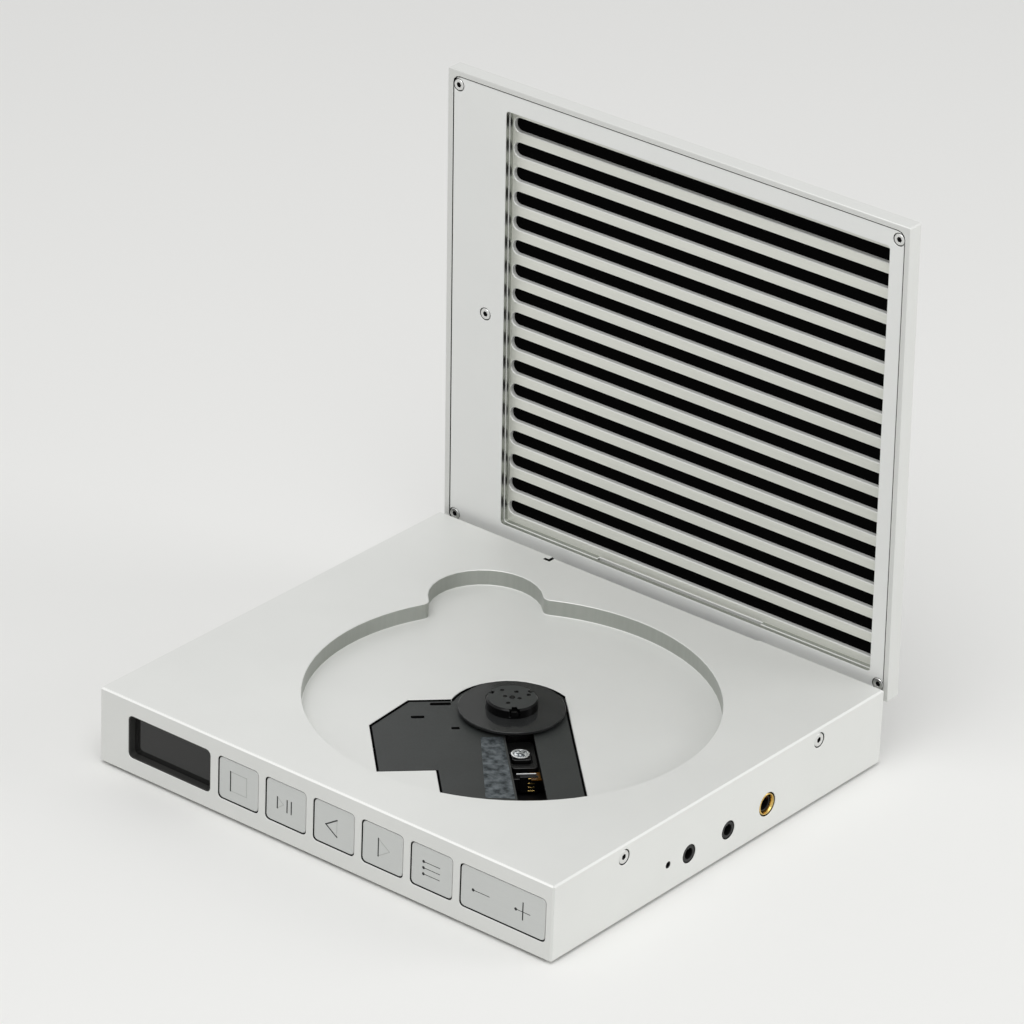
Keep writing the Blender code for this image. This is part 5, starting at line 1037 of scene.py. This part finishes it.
# The vents are opened out to their full width, with round corners, their walls black as painted shade.
vents = []
for along, across in VENTS:
    outline = rounded([u * MM for u in along], [v * MM for v in across], VENT_CORNER)
    vents.append((plate([outline], COVER_TOP - VENT_BELOW, COVER_TOP + VENT_ABOVE), 0))
carve(cover, moved(joined(vents), DRIVE), [gap_painted_shade])
foil_outline = [(u * MM, v * MM) for u, v in FOIL_OUTLINE]
foil_shape = plate([foil_outline], COVER_TOP + FOIL_GAP, COVER_TOP + FOIL_GAP + FOIL_THICKNESS)
fit(solid_from("foil_strip", moved(foil_shape, DRIVE), [foil]), "case", "bright_steel")

HUB_TIP = 0.3 * MM
HUB_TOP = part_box("turntable")[1].z - HUB_TIP
HUB_WALL = 2.9 * MM
HUB_RADIUS = 7.7 * MM


def hub_region(face):
    """The plate of the turntable polished, its raised hub near-black: painted shade on its side and under
    the cap's holes.
    """
    middle = face.calc_center_median()
    reach = math.hypot(middle.x - SPINDLE.x, middle.y - SPINDLE.y)
    return 1 if reach < HUB_RADIUS + SAME_FACE and middle.z > HUB_TOP - HUB_WALL else 0


HUB_CUTS = [math.radians(angle) for angle in (-15, 45, 105)]
hub_planes = [(SPINDLE, Vector((math.sin(angle), -math.cos(angle), 0))) for angle in HUB_CUTS]
edges_eased("turntable", PLASTIC_EDGE, [table_pom, hub_black_and_painted_shade, table_pom], "spindle", "dark_plastic",
            hub_planes, hub_region, hub_region)
CLAW_BOXES = [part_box(f"disc_claw_{number}") for number in (1, 2, 3)]
CLAW_ANGLES = sorted(math.atan2((low.y + high.y) / 2 - SPINDLE.y, (low.x + high.x) / 2 - SPINDLE.x)
                     for low, high in CLAW_BOXES)


def hub_outline(radius, notch_half, notch_floor):
    """The hub cap's rim, notched over each claw."""
    points = []
    half = math.asin(notch_half / radius)
    steps = 12
    gap = math.tau / len(CLAW_ANGLES) - 2 * half
    for angle in CLAW_ANGLES:
        for turn, reach in ((-half, radius), (-half, notch_floor), (half, notch_floor), (half, radius)):
            points.append((reach * math.cos(angle + turn), reach * math.sin(angle + turn)))
        points += [(radius * math.cos(angle + half + gap * k / steps),
                    radius * math.sin(angle + half + gap * k / steps)) for k in range(1, steps)]
    return points


# Three pairs of holes, at (radius in mm, angle in degrees from the drive's length)
HUB_HOLES = ((2.2, -110), (2.2, 70), (3.7, 155), (3.7, -25), (5.2, -151), (5.2, 104))
HOLE_RADIUS = 0.7 * MM
CAP_RADIUS = HUB_RADIUS - 0.45 * MM
CAP_THICKNESS = 0.12 * MM
NOTCH_HALF = 0.9 * MM
NOTCH_FLOOR = 6.0 * MM
holes = []
for reach, angle in HUB_HOLES:
    turn = math.radians(angle + DRIVE_TURN)
    centre = (reach * MM * math.cos(turn), reach * MM * math.sin(turn))
    holes.append(circle(centre, HOLE_RADIUS, steps=12))
cap = plate([hub_outline(CAP_RADIUS, NOTCH_HALF, NOTCH_FLOOR)] + holes, HUB_TOP, HUB_TOP + CAP_THICKNESS)
fit(solid_from("hub_cap", moved(cap, Matrix.Translation(SPINDLE)), [coat]), "spindle", "dark_plastic")
# The pin's half profile in mm, as radius and height
PIN_PROFILE = ((0, 0), (1.0, 0), (1.0, 0.15), (0.6, 0.34), (0, 0.4))
pin = turned([(radius * MM, height * MM) for radius, height in PIN_PROFILE], steps=24)
PIN_SUNK = 0.1 * MM
pin_place = Matrix.Translation((SPINDLE.x, SPINDLE.y, HUB_TOP - PIN_SUNK))
fit(solid_from("hub_pin", moved(pin, pin_place), [screw_steel]), "spindle", "bright_steel")


# Pickup: sled, lens, front lip, flex and its connector

LENS_LOW, LENS_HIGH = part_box("objective_lens")
LENS_MIDDLE = (LENS_LOW + LENS_HIGH) / 2
LENS_RADIUS = (LENS_HIGH.x - LENS_LOW.x) / 2
LENS_HEIGHT = LENS_HIGH.z - LENS_LOW.z
# The rim's profile as shares of the lens's radius and height
RIM_SHARES = ((0.74, 0), (1.0, 0), (1.0, 0.35), (0.93, 0.5), (0.78, 0.45))
DOME_SHARE = 0.72
DOME_FOOT_SHARE = 0.2
lens_planes = [(LENS_MIDDLE, SIDEWAYS), (LENS_MIDDLE, FORWARD)]
edges_eased("pickup_sled", PLASTIC_EDGE, [black_pps, black_edge_highlight], "pickup", "black_plastic", lens_planes)
edges_eased("lens_holder", PLASTIC_EDGE, [black_pps, black_edge_highlight], "lens", "black_plastic", lens_planes)
lens_place = Matrix.Translation((LENS_MIDDLE.x, LENS_MIDDLE.y, LENS_LOW.z))
rim_profile = [(LENS_RADIUS * out, LENS_HEIGHT * up) for out, up in RIM_SHARES]
fit(solid_from("lens_rim", moved(turned(rim_profile), lens_place), [lens_ring]), "lens", "lens_glass")
dome_radius = LENS_RADIUS * DOME_SHARE
dome = [(0, 0), (dome_radius, 0)]
for step in range(6):
    turn = math.radians(15) * step
    rise = DOME_FOOT_SHARE + (1 - DOME_FOOT_SHARE) * math.sin(turn)
    dome.append((dome_radius * math.cos(turn), LENS_HEIGHT * rise))
dome.append((0, LENS_HEIGHT))
fit(solid_from("lens_dome", moved(turned(dome), lens_place), [glass]), "lens", "lens_glass",
    "objective_lens")

SLED_TOP = 16.5 * MM
SLED_FRONT = 34.0 * MM
CONTACT_LEVELS = (16.8 * MM, 15.3 * MM, 14.0 * MM, 12.8 * MM)
CONTACT_HALF = 0.2 * MM


def front_bar(name, x, y, z, edge, finish, slot):
    """A bar on the sled's front: x in mm from the front outwards, y in mm across it, z its two levels."""
    shape = bar((SLED_FRONT + x[0] * MM, SLED_FRONT + x[1] * MM), (y[0] * MM, y[1] * MM), z, edge)
    fit(solid_from(name, moved(shape, DRIVE), [finish]), "pickup", slot)


front_bar("pickup_lip", x=(-0.9, -0.4), y=(-2.0, 3.9), z=(SLED_TOP + 0.6 * MM, SLED_TOP + 1.5 * MM),
          edge=0.08 * MM, finish=steel, slot="bright_steel")
front_bar("flex_connector", x=(-0.35, 0.6), y=(-1.0, 4.4), z=(12.3 * MM, 17.4 * MM),
          edge=0.08 * MM, finish=black_pps, slot="black_plastic")
for number, level in enumerate(CONTACT_LEVELS, 1):
    front_bar(f"connector_contact_{number}", x=(0.6, 0.75), y=(1.4, 3.4),
              z=(level - CONTACT_HALF, level + CONTACT_HALF), edge=0.04 * MM, finish=gold,
              slot="gold_plate")


# Finishes of the solids that keep their shape

wear(steel, "lid_magnet_1", "lid_magnet_2", "case_magnet_1", "case_magnet_2", "hinge_case_leaf",
     "hinge_lid_leaf", "hinge_pin", "spindle_motor", "sled_motor", "motor_pinion", "guide_rod_1",
     "guide_rod_2", "supply_socket")
wear(hub_black_and_painted_shade, "disc_claw_1", "disc_claw_2", "disc_claw_3")
wear(dark_pom, "drive_gear")
wear(black_abs, "display_module", "drive_chassis")
wear(rubber, "foot_1", "foot_2", "foot_3", "foot_4", "damper_1", "damper_2", "damper_3")
wear(board, "key_board", "main_board")
wear(wrap, "battery_pack")
wear(amber, "pickup_flex")
